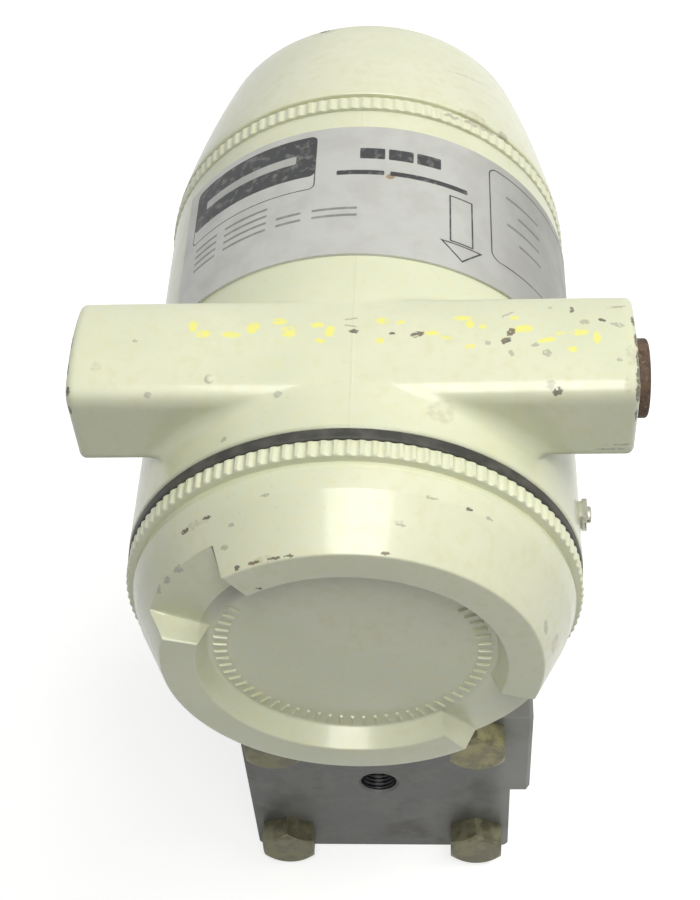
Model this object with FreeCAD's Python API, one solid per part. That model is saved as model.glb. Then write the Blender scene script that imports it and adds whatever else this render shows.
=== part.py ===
import FreeCAD, Part
import math
import os

# Pressure transmitter: a cast two-compartment housing with screwed covers, turning on the neck of a sensor
# body that is bolted between two process heads. Millimetres, +Z up, front towards -Y.
# The origin is on the neck axis, at the underside of the process heads.

V = FreeCAD.Vector

# Process heads
HEAD_WIDTH = 87.8
HEAD_HEIGHT = 85.8
HEAD_THICK = 37.0
HEAD_EDGE = 3.0
PAD_PROUD = 6.5
PAD_HEIGHT = 45.8
PAD_EDGE = 1.2
PORT_SPACING = 54.0
PORT_RADIUS = 5.9
PORT_DEPTH = 14.0
PORT_CHAMFER = 0.9
PASSAGE_RADIUS = 2.5
VENT_RISE = 0.8
VENT_DEPTH = 12.0
BRACKET_TAP_SPACING = 41.3
BRACKET_TAP_RADIUS = 4.95
BRACKET_TAP_DEPTH = 14.0
CHAMBER_POCKET_RADIUS = 20.0
CHAMBER_POCKET_DEPTH = 3.0

# Head bolts and nuts
BOLT_EDGE_X = 11.3
BOLT_EDGE_Z = 10.3
BOLT_RADIUS = 5.56
BOLT_CLEARANCE = 0.34
BOLT_HEAD_ACROSS = 17.46
BOLT_HEAD_HEIGHT = 8.0
NUT_ACROSS = 17.46
NUT_HEIGHT = 9.5
BOLT_OVERRUN = 3.0
HEX_BEVEL = 1.2

# Sensor body, gaskets and diaphragms
CELL_THICK = 25.4
CELL_BOLT_GAP = 2.15
CELL_EDGE = 1.5
NECK_RADIUS = 19.0
NECK_RISE = 69.1
NECK_CLEARANCE = 1.5
WAIST_STEP = 0.7
STUB_RADIUS = 15.0
STUB_RECESS = 4.5
LEAD_BORE = 9.0
LEAD_BORE_DEPTH = 26.0
GASKET_INNER = 24.0
GASKET_WIDTH = 5.0
GASKET_THICK = 2.4
GASKET_PLAY = 0.1
DIAPHRAGM_RADIUS = 21.0
DIAPHRAGM_THICK = 0.4
DIAPHRAGM_SINK = 1.2
DIAPHRAGM_PLAY = 0.1
HEADER_HEIGHT = 8.0
HEADER_PLAY = 0.1
HEADER_SINK = 2.0
PIN_COUNT = 8
PIN_RADIUS = 0.5
PIN_CIRCLE = 4.5
PIN_RISE = 5.0
NECK_RING_SECTION = 1.3
NECK_RING_DEPTH = 8.0
NECK_RING_PLAY = 0.3

# Housing barrel
BARREL_RADIUS = 58.6
BARREL_FRONT = 71.2
BARREL_REAR = 45.9
CHAMBER_WALL = 8.1
THREAD_WALL = 6.3
THREAD_DEPTH = 16.0
DIVIDER_FRONT = 28.0
DIVIDER_THICK = 4.0
SHOULDER_CHAMFER = 0.3
SOCKET_RADIUS = 24.0
SOCKET_DROP = 20.0
SOCKET_GAP = 0.4
SOCKET_FIT = 0.05
SOCKET_BLEND = 5.0

# Crossbar with a conduit hub at each end
BAR_LEFT = 67.7
BAR_RIGHT = 69.8
BAR_INSET = 11.0
CONDUIT_RADIUS = 9.7
CONDUIT_THREAD = 20.0
CONDUIT_CORE = 9.0
HUB_WALL = 5.5
CHEEK_WALL = 1.55
CHEEK_DROP = 9.0
CROWN_RISE = 1.2
CROWN_RADIUS = 42.0
BAR_PROUD = 2.0
BAR_EDGE = 5.5
BAR_END_EDGE = 2.0
BAR_BLEND = 3.5

# Conduit plug
PLUG_LAP = 0.17
PLUG_PROUD = 3.6
PLUG_PLAY = 0.1
PLUG_LENGTH = 14.0
PLUG_SOCKET_ACROSS = 9.5
PLUG_SOCKET_DEPTH = 7.0
PLUG_EDGE = 0.8

# Covers and their seals
COVER_LENGTH_FRONT = 25.6
COVER_LENGTH_REAR = 53.4
COVER_TAPER_FRONT = 9.0
COVER_TAPER_REAR = 10.5
COVER_SWELL_REAR = 0.8
COVER_BAND_LENGTH = 5.2
COVER_BAND_TAPER = 1.95
COVER_STEP_FRONT = 1.7
COVER_STEP_REAR = 0.2
COVER_WALL = 5.0
COVER_THREAD_PLAY = 0.3
COVER_SKIRT_WALL = 4.5
COVER_SKIRT_LENGTH = 12.0
KNURL_INSET_FRONT = 0.3
KNURL_PROUD_REAR = 0.5
KNURL_DEPTH = 0.8
KNURL_WIDTH = 4.9
KNURL_COUNT = 120
KNURL_GROOVE_WIDTH = 1.7
KNURL_GROOVE_DEPTH = 1.6
RING_WIDTH = 8.8
RING_HEIGHT = 6.0
RING_DRAFT = 2.4
RING_EDGE = 0.6
NOTCH_START_FRONT = 126.5
NOTCH_START_REAR = -18.25
NOTCH_SWEEP = 36.5
NOTCH_FALL = 1.2
SEAL_PLAY = 0.3
FRONT_SEAL_WIDTH = 3.2
FRONT_SEAL_INSET = 0.15
REAR_SEAL_DEPTH = 4.0
REAR_SEAL_WALL = 3.4
REAR_SEAL_SHOW = 0.7
SEAL_EDGE = 0.6

# Nameplate
PLATE_FRONT = 13.1
PLATE_WIDTH = 50.8
PLATE_THICK = 0.7
PLATE_GLUE = 0.05
PLATE_START = -5.0
PLATE_SWEEP = 150.0

# External ground terminal
GROUND_INSET = 14.2
GROUND_RISE = 7.0
GROUND_BOSS_RADIUS = 3.6
GROUND_BOSS_PROUD = 0.5
GROUND_SCREW_RADIUS = 1.5
GROUND_SCREW_DEPTH = 5.0
GROUND_SCREW_PLAY = 0.1
GROUND_HEAD_RADIUS = 2.2
GROUND_HEAD_HEIGHT = 1.7
CLAMP_WIDTH = 6.0
CLAMP_THICK = 0.7
CLAMP_LIP = 1.3
DRIVER_SLOT_WIDTH = 1.0
DRIVER_SLOT_DEPTH = 1.2

# Housing lock screw
LOCK_BOSS_RADIUS = 6.5
LOCK_BOSS_REACH = 30.0
LOCK_SCREW_RADIUS = 3.0
LOCK_SCREW_LENGTH = 9.0
LOCK_SCREW_PLAY = 0.1
LOCK_SCREW_GAP = 0.4
LOCK_SOCKET_ACROSS = 3.0
LOCK_RISE = 9.0

# Terminal block
BLOCK_MARGIN = 0.8
BLOCK_HEIGHT = 34.0
BLOCK_DEPTH = 16.0
BLOCK_DROP = 12.0
BLOCK_EDGE = 2.5
BARRIER_THICK = 2.0
BARRIER_HEIGHT = 6.0
TERMINAL_COUNT = 4
TERMINAL_PITCH = 12.0
TERMINAL_SCREW_RADIUS = 2.0
TERMINAL_HEAD_RADIUS = 3.8
TERMINAL_HEAD_HEIGHT = 2.4
TERMINAL_SCREW_DEPTH = 8.0
SCREW_PLAY = 0.1
BLOCK_SCREW_CLEARANCE = 0.5
BLOCK_SCREW_RADIUS = 1.75
BLOCK_SCREW_HEAD = 3.2
BLOCK_SCREW_HEAD_HEIGHT = 2.2
BLOCK_SCREW_BITE = 2.5

# Feed-through, boards and sensor ribbon
FEED_RADIUS = 8.0
FEED_PLAY = 0.1
FEED_FRONT = 6.0
FEED_REAR = 8.0
FEED_FLANGE = 10.5
FEED_FLANGE_THICK = 2.0
FEED_POCKET_PLAY = 1.0
BOARD_CLEARANCE = 6.5
BOARD_THICK = 1.6
POWER_BOARD_Y = 18.0
BOARD_GAP = 14.0
SPACER_RADIUS = 3.5
SPACER_EDGE = 6.0
SPACER_COUNT = 3
BOARD_SCREW_RADIUS = 1.5
BOARD_SCREW_HEAD = 2.8
BOARD_SCREW_HEAD_HEIGHT = 2.0
BOARD_SCREW_BITE = 3.5
COIL_WIDTH = 18.0
COIL_HEIGHT = 16.0
COIL_LEFT = 17.0
COIL_DROP = 10.0
CAPACITOR_RADIUS = 5.0
CAPACITOR_PITCH = 12.0
CAPACITOR_RIGHT = 10.0
CAPACITOR_RISE = 8.0
TALL_PART_CLEARANCE = 2.0
CHIP_WIDTH = 22.0
CHIP_THICK = 3.0
DRIVER_WIDTH = 12.0
DRIVER_OFFSET = 23.0
RIBBON_WIDTH = 16.0
RIBBON_THICK = 1.0
RIBBON_BEND = 5.0
RIBBON_RISE = 31.0
RIBBON_PLUG_RADIUS = 10.0
RIBBON_PLUG_WALL = 2.5
RIBBON_PLUG_HEIGHT = 10.0
RIBBON_PLUG_GAP = 0.6
RIBBON_SOCKET_HEIGHT = 8.0
RIBBON_SOCKET_DEPTH = 7.0
RIBBON_SOCKET_WALL = 2.0

# Heights and places that follow from the sizes above
CELL_Z = HEAD_HEIGHT / 2
BOLT_X = HEAD_WIDTH / 2 - BOLT_EDGE_X
BOLT_Z = HEAD_HEIGHT / 2 - BOLT_EDGE_Z
CELL_RADIUS = math.hypot(BOLT_X, BOLT_Z) - BOLT_RADIUS - CELL_BOLT_GAP
CHAMBER_RADIUS = BARREL_RADIUS - CHAMBER_WALL
THREAD_RADIUS = BARREL_RADIUS - THREAD_WALL
NECK_SHOULDER_Z = CELL_Z + NECK_RISE
SOCKET_Z = NECK_SHOULDER_Z + SOCKET_GAP
AXIS_Z = SOCKET_Z + SOCKET_DROP + BARREL_RADIUS
STUB_TOP_Z = AXIS_Z - CHAMBER_RADIUS - STUB_RECESS
HEAD_INNER = CELL_THICK / 2
HEAD_OUTER = HEAD_INNER + HEAD_THICK
HEAD_MIDDLE = HEAD_INNER + HEAD_THICK / 2
PORT_Y = PORT_SPACING / 2
PORT_Z = HEAD_HEIGHT - PAD_HEIGHT / 2
VENT_Z = CELL_Z + VENT_RISE
PAD_FACE = HEAD_WIDTH / 2 + PAD_PROUD
HUB_RADIUS = CONDUIT_RADIUS + HUB_WALL
BAR_DEPTH_HALF = HUB_RADIUS + CHEEK_WALL
CONDUIT_AHEAD = BARREL_FRONT - BAR_INSET - BAR_DEPTH_HALF
PLUG_HEAD_RADIUS = CONDUIT_RADIUS + PLUG_LAP
GROUND_AHEAD = BARREL_FRONT - GROUND_INSET
CONDUIT_Z = AXIS_Z + BARREL_RADIUS + BAR_PROUD - HUB_RADIUS - CROWN_RISE
FRONT_FLANGE = BARREL_FRONT + FRONT_SEAL_WIDTH
REAR_FLANGE = BARREL_REAR + REAR_SEAL_SHOW
SKIRT_RADIUS = THREAD_RADIUS - COVER_THREAD_PLAY
SKIRT_INNER = SKIRT_RADIUS - COVER_SKIRT_WALL
SEAL_INNER = THREAD_RADIUS
FRONT_SEAL_RADIUS = BARREL_RADIUS - FRONT_SEAL_INSET
REAR_SEAL_RADIUS = THREAD_RADIUS + REAR_SEAL_WALL
KNURL_CREST_FRONT = BARREL_RADIUS - KNURL_INSET_FRONT
KNURL_CREST_REAR = BARREL_RADIUS + KNURL_PROUD_REAR
COVER_SHOULDER_FRONT = KNURL_CREST_FRONT - COVER_STEP_FRONT
COVER_SHOULDER_REAR = KNURL_CREST_REAR - COVER_STEP_REAR
COVER_END_FRONT = COVER_SHOULDER_FRONT - COVER_TAPER_FRONT
COVER_END_REAR = COVER_SHOULDER_REAR - COVER_TAPER_REAR
BOARD_RADIUS = CHAMBER_RADIUS - BOARD_CLEARANCE
SPACER_CIRCLE = BOARD_RADIUS - SPACER_EDGE
DIVIDER_REAR = DIVIDER_FRONT - DIVIDER_THICK
MAIN_BOARD_Y = POWER_BOARD_Y + BOARD_THICK + BOARD_GAP
BLOCK_Z = AXIS_Z - BLOCK_DROP
TERMINAL_ROW = TERMINAL_COUNT * TERMINAL_PITCH + BARRIER_THICK
BLOCK_SCREW_X = TERMINAL_ROW / 2 + BLOCK_SCREW_CLEARANCE + BLOCK_SCREW_HEAD
BLOCK_WIDTH = 2 * (BLOCK_SCREW_X + BLOCK_SCREW_HEAD + BLOCK_MARGIN)


def cylinder_x(radius, start, length, y, z):
    return Part.makeCylinder(radius, length, V(start, y, z), V(1, 0, 0))


def cylinder_y(radius, start, length, x, z):
    return Part.makeCylinder(radius, length, V(x, start, z), V(0, 1, 0))


def cylinder_z(radius, start, length, x, y):
    return Part.makeCylinder(radius, length, V(x, y, start), V(0, 0, 1))


def block(low, high):
    size = V(*high).sub(V(*low))
    return Part.makeBox(size.x, size.y, size.z, V(*low))


def hexagon(across, length, place, direction):
    """Hexagonal prism along a direction, with two corners up."""
    corner = across / math.sqrt(3)
    angles = [i * math.pi / 3 for i in range(7)]
    points = [V(corner * math.sin(a), corner * math.cos(a), 0) for a in angles]
    prism = Part.Face(Part.makePolygon(points)).extrude(V(0, 0, length))
    prism.Placement = FreeCAD.Placement(place, FreeCAD.Rotation(V(0, 0, 1), direction))
    return prism


def bevelled_hexagon(across, length, place, direction):
    """Hexagonal prism whose outer corners are turned down, as on a bolt head or nut."""
    corner = across / math.sqrt(3)
    cap = Part.makeCylinder(corner, length - HEX_BEVEL, place, direction)
    tip_place = place + direction * (length - HEX_BEVEL)
    tip = Part.makeCone(corner, across / 2 - HEX_BEVEL / 2, HEX_BEVEL, tip_place, direction)
    return hexagon(across, length, place, direction).common(cap.fuse(tip))


def turned(points, place, direction):
    """Solid of revolution from (radius, distance) points, with the distance measured along the direction.

    A third number in a point bows the side that leads to it outwards by that much.
    """
    corners = [V(point[0], 0, point[1]) for point in points]
    edges = []
    for i, point in enumerate(points):
        start = corners[i - 1]
        end = corners[i]
        if len(point) > 2 and point[2] > 0:
            outwards = V(end.z - start.z, 0, start.x - end.x).normalize()
            edges.append(Part.Arc(start, (start + end) / 2 + outwards * point[2], end).toShape())
        else:
            edges.append(Part.LineSegment(start, end).toShape())
    solid = Part.Face(Part.Wire(edges)).revolve(V(0, 0, 0), V(0, 0, 1), 360)
    solid.Placement = FreeCAD.Placement(place, FreeCAD.Rotation(V(0, 0, 1), direction))
    return solid


def make_head(side):
    """Process head: a machined steel block with a flush side pad, drilled through for the four bolts.

    side is -1 for the front head and +1 for the rear one.
    """
    inner = side * HEAD_INNER
    outer = side * HEAD_OUTER
    low, high = sorted((inner, outer))
    half = HEAD_WIDTH / 2
    body = block((-half, low, 0), (half, high, HEAD_HEIGHT))
    body = body.makeFillet(HEAD_EDGE, [e for e in body.Edges if abs(e.Length - HEAD_THICK) < 1e-6])
    pad = block((half - HEAD_EDGE, low, HEAD_HEIGHT - PAD_HEIGHT), (PAD_FACE, high, HEAD_HEIGHT))
    pad_rim = [e for e in pad.Edges if e.BoundBox.XMin > PAD_FACE - 1e-6]
    pad = pad.makeChamfer(PAD_EDGE, pad_rim)
    body = body.fuse(pad).removeSplitter()
    out = V(0, side, 0)
    cuts = []
    for x in (-BOLT_X, BOLT_X):
        for z in (CELL_Z - BOLT_Z, CELL_Z + BOLT_Z):
            cuts.append(cylinder_y(BOLT_RADIUS + BOLT_CLEARANCE, low, HEAD_THICK, x, z))
    # Chamber over the diaphragm, with the gasket groove round it
    into = V(0, inner, CELL_Z)
    cuts.append(Part.makeCylinder(CHAMBER_POCKET_RADIUS, CHAMBER_POCKET_DEPTH, into, out))
    groove = Part.makeCylinder(GASKET_INNER + GASKET_WIDTH + GASKET_PLAY, GASKET_THICK, into, out)
    cuts.append(groove.cut(Part.makeCylinder(GASKET_INNER - GASKET_PLAY, GASKET_THICK, into, out)))
    # Vent port on the outer face, drilled on to the chamber
    vent_mouth = V(0, outer, VENT_Z)
    cuts.append(Part.makeCylinder(PORT_RADIUS, VENT_DEPTH, vent_mouth, -out))
    cuts.append(Part.makeCone(PORT_RADIUS + PORT_CHAMFER, PORT_RADIUS, PORT_CHAMFER, vent_mouth, -out))
    cuts.append(Part.makeCylinder(PASSAGE_RADIUS, HEAD_THICK, vent_mouth, -out))
    # Process port in the pad, drilled on to the vent passage at its own height
    port_mouth = V(PAD_FACE, side * PORT_Y, PORT_Z)
    cuts.append(Part.makeCylinder(PORT_RADIUS, PORT_DEPTH, port_mouth, V(-1, 0, 0)))
    cuts.append(Part.makeCone(PORT_RADIUS + PORT_CHAMFER, PORT_RADIUS, PORT_CHAMFER, port_mouth, V(-1, 0, 0)))
    cuts.append(Part.makeCylinder(PASSAGE_RADIUS, PAD_FACE, port_mouth, V(-1, 0, 0)))
    drop = Part.makeCylinder(PASSAGE_RADIUS, PORT_Z - VENT_Z, V(0, side * PORT_Y, VENT_Z), V(0, 0, 1))
    cuts.append(drop)
    # Tapped holes in the underside for a mounting bracket
    for x in (-BRACKET_TAP_SPACING / 2, BRACKET_TAP_SPACING / 2):
        cuts.append(cylinder_z(BRACKET_TAP_RADIUS, 0, BRACKET_TAP_DEPTH, x, side * HEAD_MIDDLE))
    return body.cut(cuts)


def make_gasket(side):
    """Flat ring gasket that fills the groove in a head's inner face."""
    into = V(0, side * HEAD_INNER, CELL_Z)
    out = V(0, side, 0)
    ring = Part.makeCylinder(GASKET_INNER + GASKET_WIDTH, GASKET_THICK, into, out)
    return ring.cut(Part.makeCylinder(GASKET_INNER, GASKET_THICK, into, out))


def make_diaphragm(side):
    """Thin isolating diaphragm at the bottom of the shallow recess in the cell's face."""
    start = V(0, side * (HEAD_INNER - DIAPHRAGM_SINK), CELL_Z)
    return Part.makeCylinder(DIAPHRAGM_RADIUS, DIAPHRAGM_THICK, start, V(0, side, 0))


def make_head_bolts():
    """Four hexagon bolts, heads to the front, through both heads."""
    bolts = []
    shank = 2 * HEAD_OUTER + NUT_HEIGHT + BOLT_OVERRUN
    for x in (-BOLT_X, BOLT_X):
        for z in (CELL_Z - BOLT_Z, CELL_Z + BOLT_Z):
            head = bevelled_hexagon(BOLT_HEAD_ACROSS, BOLT_HEAD_HEIGHT, V(x, -HEAD_OUTER, z), V(0, -1, 0))
            bolts.append(head.fuse(cylinder_y(BOLT_RADIUS, -HEAD_OUTER, shank, x, z)))
    return Part.makeCompound(bolts)


def make_head_nuts():
    """Four hexagon nuts behind the rear head."""
    nuts = []
    for x in (-BOLT_X, BOLT_X):
        for z in (CELL_Z - BOLT_Z, CELL_Z + BOLT_Z):
            nut = bevelled_hexagon(NUT_ACROSS, NUT_HEIGHT, V(x, HEAD_OUTER, z), V(0, 1, 0))
            nuts.append(nut.cut(cylinder_y(BOLT_RADIUS + SCREW_PLAY, HEAD_OUTER, NUT_HEIGHT, x, z)))
    return Part.makeCompound(nuts)


def make_sensor_body():
    """Round sensor cell with its neck and the turned stub that the housing swivels on."""
    cell = cylinder_y(CELL_RADIUS, -CELL_THICK / 2, CELL_THICK, 0, CELL_Z)
    cell = cell.makeChamfer(CELL_EDGE, [e for e in cell.Edges if e.BoundBox.XLength > CELL_RADIUS])
    collar_z = HEAD_HEIGHT + NECK_CLEARANCE
    waist = cylinder_z(CELL_THICK / 2 - WAIST_STEP, CELL_Z, collar_z - CELL_Z, 0, 0)
    collar = cylinder_z(NECK_RADIUS, collar_z, NECK_SHOULDER_Z - collar_z, 0, 0)
    stub = cylinder_z(STUB_RADIUS, NECK_SHOULDER_Z, STUB_TOP_Z - NECK_SHOULDER_Z, 0, 0)
    body = cell.fuse([waist, collar, stub])
    bore = cylinder_z(LEAD_BORE, STUB_TOP_Z - LEAD_BORE_DEPTH, LEAD_BORE_DEPTH, 0, 0)
    ring_z = STUB_TOP_Z - NECK_RING_DEPTH
    groove_depth = 2 * NECK_RING_SECTION + NECK_RING_PLAY
    groove = cylinder_z(STUB_RADIUS, ring_z - NECK_RING_SECTION, 2 * NECK_RING_SECTION, 0, 0)
    groove = groove.cut(cylinder_z(STUB_RADIUS - groove_depth, ring_z - NECK_RING_SECTION,
                                   2 * NECK_RING_SECTION, 0, 0))
    cuts = [bore, groove]
    for side in (-1, 1):
        face = V(0, side * HEAD_INNER, CELL_Z)
        recess = Part.makeCylinder(DIAPHRAGM_RADIUS + DIAPHRAGM_PLAY, DIAPHRAGM_SINK, face, V(0, -side, 0))
        cuts.append(recess)
    return body.cut(cuts)


def make_neck_ring():
    """Rubber ring in the groove of the neck's stub."""
    radius = STUB_RADIUS - NECK_RING_PLAY - NECK_RING_SECTION
    return Part.makeTorus(radius, NECK_RING_SECTION, V(0, 0, STUB_TOP_Z - NECK_RING_DEPTH), V(0, 0, 1))


def make_sensor_header():
    """Sealed header in the neck's bore, with its ring of contact pins."""
    top = STUB_TOP_Z - HEADER_SINK
    header = cylinder_z(LEAD_BORE - HEADER_PLAY, top - HEADER_HEIGHT, HEADER_HEIGHT, 0, 0)
    pins = []
    for i in range(PIN_COUNT):
        angle = 2 * math.pi * i / PIN_COUNT
        x = PIN_CIRCLE * math.cos(angle)
        y = PIN_CIRCLE * math.sin(angle)
        pins.append(cylinder_z(PIN_RADIUS, top, PIN_RISE, x, y))
    return header.fuse(pins)


def make_crossbar():
    """Transverse bar: round underneath about the conduit bore, flat cheeks, gently crowned top."""
    cheek_y = BAR_DEPTH_HALF
    crown_z = HUB_RADIUS + CROWN_RISE
    crown_drop = CROWN_RADIUS - math.sqrt(CROWN_RADIUS ** 2 - cheek_y ** 2)
    reach = math.hypot(cheek_y, CHEEK_DROP)
    touch = -math.atan2(CHEEK_DROP, cheek_y) - math.acos(HUB_RADIUS / reach)
    under = V(0, HUB_RADIUS * math.cos(touch), HUB_RADIUS * math.sin(touch))
    front_low = V(0, -cheek_y, -CHEEK_DROP)
    rear_low = V(0, cheek_y, -CHEEK_DROP)
    front_top = V(0, -cheek_y, crown_z - crown_drop)
    rear_top = V(0, cheek_y, crown_z - crown_drop)
    mirrored = V(0, -under.y, under.z)
    edges = [
        Part.LineSegment(front_low, front_top).toShape(),
        Part.Arc(front_top, V(0, 0, crown_z), rear_top).toShape(),
        Part.LineSegment(rear_top, rear_low).toShape(),
        Part.LineSegment(rear_low, under).toShape(),
        Part.Arc(under, V(0, 0, -HUB_RADIUS), mirrored).toShape(),
        Part.LineSegment(mirrored, front_low).toShape(),
    ]
    bar = Part.Face(Part.Wire(edges)).extrude(V(BAR_LEFT + BAR_RIGHT, 0, 0))
    bar.translate(V(-BAR_LEFT, -CONDUIT_AHEAD, CONDUIT_Z))
    top_edge_z = CONDUIT_Z + crown_z - crown_drop
    long_edges = [e for e in bar.Edges if e.BoundBox.XLength > BAR_LEFT]
    top_edges = [e for e in long_edges if abs(e.BoundBox.ZMax - top_edge_z) < 1e-3]
    bar = bar.makeFillet(BAR_EDGE, top_edges)
    end_edges = [e for e in bar.Edges if e.BoundBox.XLength < 1e-3]
    return bar.makeFillet(BAR_END_EDGE, end_edges)


def make_housing():
    """Cast housing: barrel, crossbar, neck socket and bosses, with a wall between its two compartments."""
    length = BARREL_FRONT + BARREL_REAR
    barrel = cylinder_y(BARREL_RADIUS, -BARREL_FRONT, length, 0, AXIS_Z)
    rims = [e for e in barrel.Edges if e.BoundBox.XLength > BARREL_RADIUS]
    barrel = barrel.makeChamfer(SHOULDER_CHAMFER, rims)
    body = barrel.fuse(make_crossbar())
    body = body.makeFillet(BAR_BLEND, crossbar_seam(body))
    socket = cylinder_z(SOCKET_RADIUS, SOCKET_Z, AXIS_Z - SOCKET_Z, 0, 0)
    body = body.fuse(socket)
    body = body.makeFillet(SOCKET_BLEND, socket_seam(body))
    lock_z = SOCKET_Z + LOCK_RISE
    bore_radius = STUB_RADIUS + SOCKET_FIT
    lock_boss = cylinder_y(LOCK_BOSS_RADIUS, bore_radius, LOCK_BOSS_REACH - bore_radius, 0, lock_z)
    ground_y = -GROUND_AHEAD
    ground_z = AXIS_Z + GROUND_RISE
    ground_reach = ground_face() - THREAD_RADIUS
    ground_boss = cylinder_x(GROUND_BOSS_RADIUS, THREAD_RADIUS, ground_reach, ground_y, ground_z)
    body = body.fuse([lock_boss, ground_boss])
    front_room = cylinder_y(CHAMBER_RADIUS, -BARREL_FRONT, BARREL_FRONT - DIVIDER_FRONT, 0, AXIS_Z)
    front_thread = cylinder_y(THREAD_RADIUS, -BARREL_FRONT, THREAD_DEPTH, 0, AXIS_Z)
    rear_room = cylinder_y(CHAMBER_RADIUS, -DIVIDER_REAR, BARREL_REAR + DIVIDER_REAR, 0, AXIS_Z)
    rear_thread = cylinder_y(THREAD_RADIUS, BARREL_REAR - THREAD_DEPTH, THREAD_DEPTH, 0, AXIS_Z)
    seat_start = BARREL_REAR - REAR_SEAL_DEPTH
    rear_seat = cylinder_y(REAR_SEAL_RADIUS + SEAL_PLAY, seat_start, REAR_SEAL_DEPTH, 0, AXIS_Z)
    core = cylinder_x(CONDUIT_CORE, -BAR_LEFT, BAR_LEFT + BAR_RIGHT, -CONDUIT_AHEAD, CONDUIT_Z)
    left_hub = cylinder_x(CONDUIT_RADIUS, -BAR_LEFT, CONDUIT_THREAD, -CONDUIT_AHEAD, CONDUIT_Z)
    hub_start = BAR_RIGHT - CONDUIT_THREAD
    right_hub = cylinder_x(CONDUIT_RADIUS, hub_start, CONDUIT_THREAD, -CONDUIT_AHEAD, CONDUIT_Z)
    swivel_bore = cylinder_z(bore_radius, SOCKET_Z, AXIS_Z - SOCKET_Z, 0, 0)
    lock_hole = cylinder_y(LOCK_SCREW_RADIUS + LOCK_SCREW_PLAY, 0, LOCK_BOSS_REACH, 0, lock_z)
    ground_hole = cylinder_x(GROUND_SCREW_RADIUS + GROUND_SCREW_PLAY, ground_face() - GROUND_SCREW_DEPTH,
                             GROUND_SCREW_DEPTH, ground_y, ground_z)
    feed_hole = cylinder_y(FEED_RADIUS + FEED_PLAY, -DIVIDER_FRONT, DIVIDER_THICK, 0, BLOCK_Z)
    cuts = [front_room, front_thread, rear_room, rear_thread, rear_seat, core, left_hub, right_hub]
    cuts += [swivel_bore, lock_hole, ground_hole, feed_hole]
    for x in (-BLOCK_SCREW_X, BLOCK_SCREW_X):
        cuts.append(cylinder_y(BLOCK_SCREW_RADIUS + SCREW_PLAY, -DIVIDER_FRONT, BLOCK_SCREW_BITE, x, BLOCK_Z))
    return body.cut(cuts)


def crossbar_seam(body):
    """Edges where the crossbar's flat cheeks meet the barrel; its underside runs into it sharply."""
    found = []
    for edge in body.Edges:
        middle = edge.valueAt((edge.FirstParameter + edge.LastParameter) / 2)
        on_barrel = abs(math.hypot(middle.x, middle.z - AXIS_Z) - BARREL_RADIUS) < 1e-3
        beside_bar = abs(abs(middle.y + CONDUIT_AHEAD) - BAR_DEPTH_HALF) < 1e-3
        if on_barrel and beside_bar and edge.BoundBox.XLength > 1e-3:
            found.append(edge)
    return found


def socket_seam(body):
    """Edge where the neck socket meets the barrel."""
    found = []
    for edge in body.Edges:
        middle = edge.valueAt((edge.FirstParameter + edge.LastParameter) / 2)
        on_socket = abs(math.hypot(middle.x, middle.y) - SOCKET_RADIUS) < 1e-3
        if on_socket and SOCKET_Z + 1e-3 < middle.z < AXIS_Z:
            found.append(edge)
    return found


def ground_face():
    """Distance from the middle plane to the flat face of the ground boss."""
    return math.sqrt(BARREL_RADIUS ** 2 - GROUND_RISE ** 2) + GROUND_BOSS_PROUD


def make_ground_clamp():
    """Saddle clamp under the ground screw: a small plate with two turned-out lips."""
    y = -GROUND_AHEAD
    z = AXIS_Z + GROUND_RISE
    half = CLAMP_WIDTH / 2
    face = ground_face()
    plate = block((face, y - half, z - half), (face + CLAMP_THICK, y + half, z + half))
    for low in (z - half, z + half - CLAMP_THICK):
        lip = block((face, y - half, low), (face + CLAMP_LIP, y + half, low + CLAMP_THICK))
        plate = plate.fuse(lip)
    hole = cylinder_x(GROUND_SCREW_RADIUS + GROUND_SCREW_PLAY, face, CLAMP_THICK, y, z)
    return plate.removeSplitter().cut(hole)


def make_ground_screw():
    """Slotted pan-head screw of the external ground terminal."""
    y = -GROUND_AHEAD
    z = AXIS_Z + GROUND_RISE
    seat = ground_face() + CLAMP_THICK
    length = GROUND_SCREW_DEPTH + CLAMP_THICK
    head = cylinder_x(GROUND_HEAD_RADIUS, seat, GROUND_HEAD_HEIGHT, y, z)
    head = head.makeFillet(GROUND_HEAD_HEIGHT / 3, [e for e in head.Edges if e.BoundBox.XMin > seat + 1e-3])
    screw = head.fuse(cylinder_x(GROUND_SCREW_RADIUS, seat - length, length, y, z))
    top = seat + GROUND_HEAD_HEIGHT
    slot = block((top - DRIVER_SLOT_DEPTH, y - GROUND_HEAD_RADIUS, z - DRIVER_SLOT_WIDTH / 2),
                 (top, y + GROUND_HEAD_RADIUS, z + DRIVER_SLOT_WIDTH / 2))
    return screw.cut(slot)


def make_lock_screw():
    """Socket set screw that locks the housing on the neck, backed off just clear of it."""
    start = STUB_RADIUS + LOCK_SCREW_GAP
    z = SOCKET_Z + LOCK_RISE
    screw = cylinder_y(LOCK_SCREW_RADIUS, start, LOCK_SCREW_LENGTH, 0, z)
    end = V(0, start + LOCK_SCREW_LENGTH, z)
    return screw.cut(hexagon(LOCK_SOCKET_ACROSS, LOCK_SCREW_LENGTH / 2, end, V(0, -1, 0)))


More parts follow.
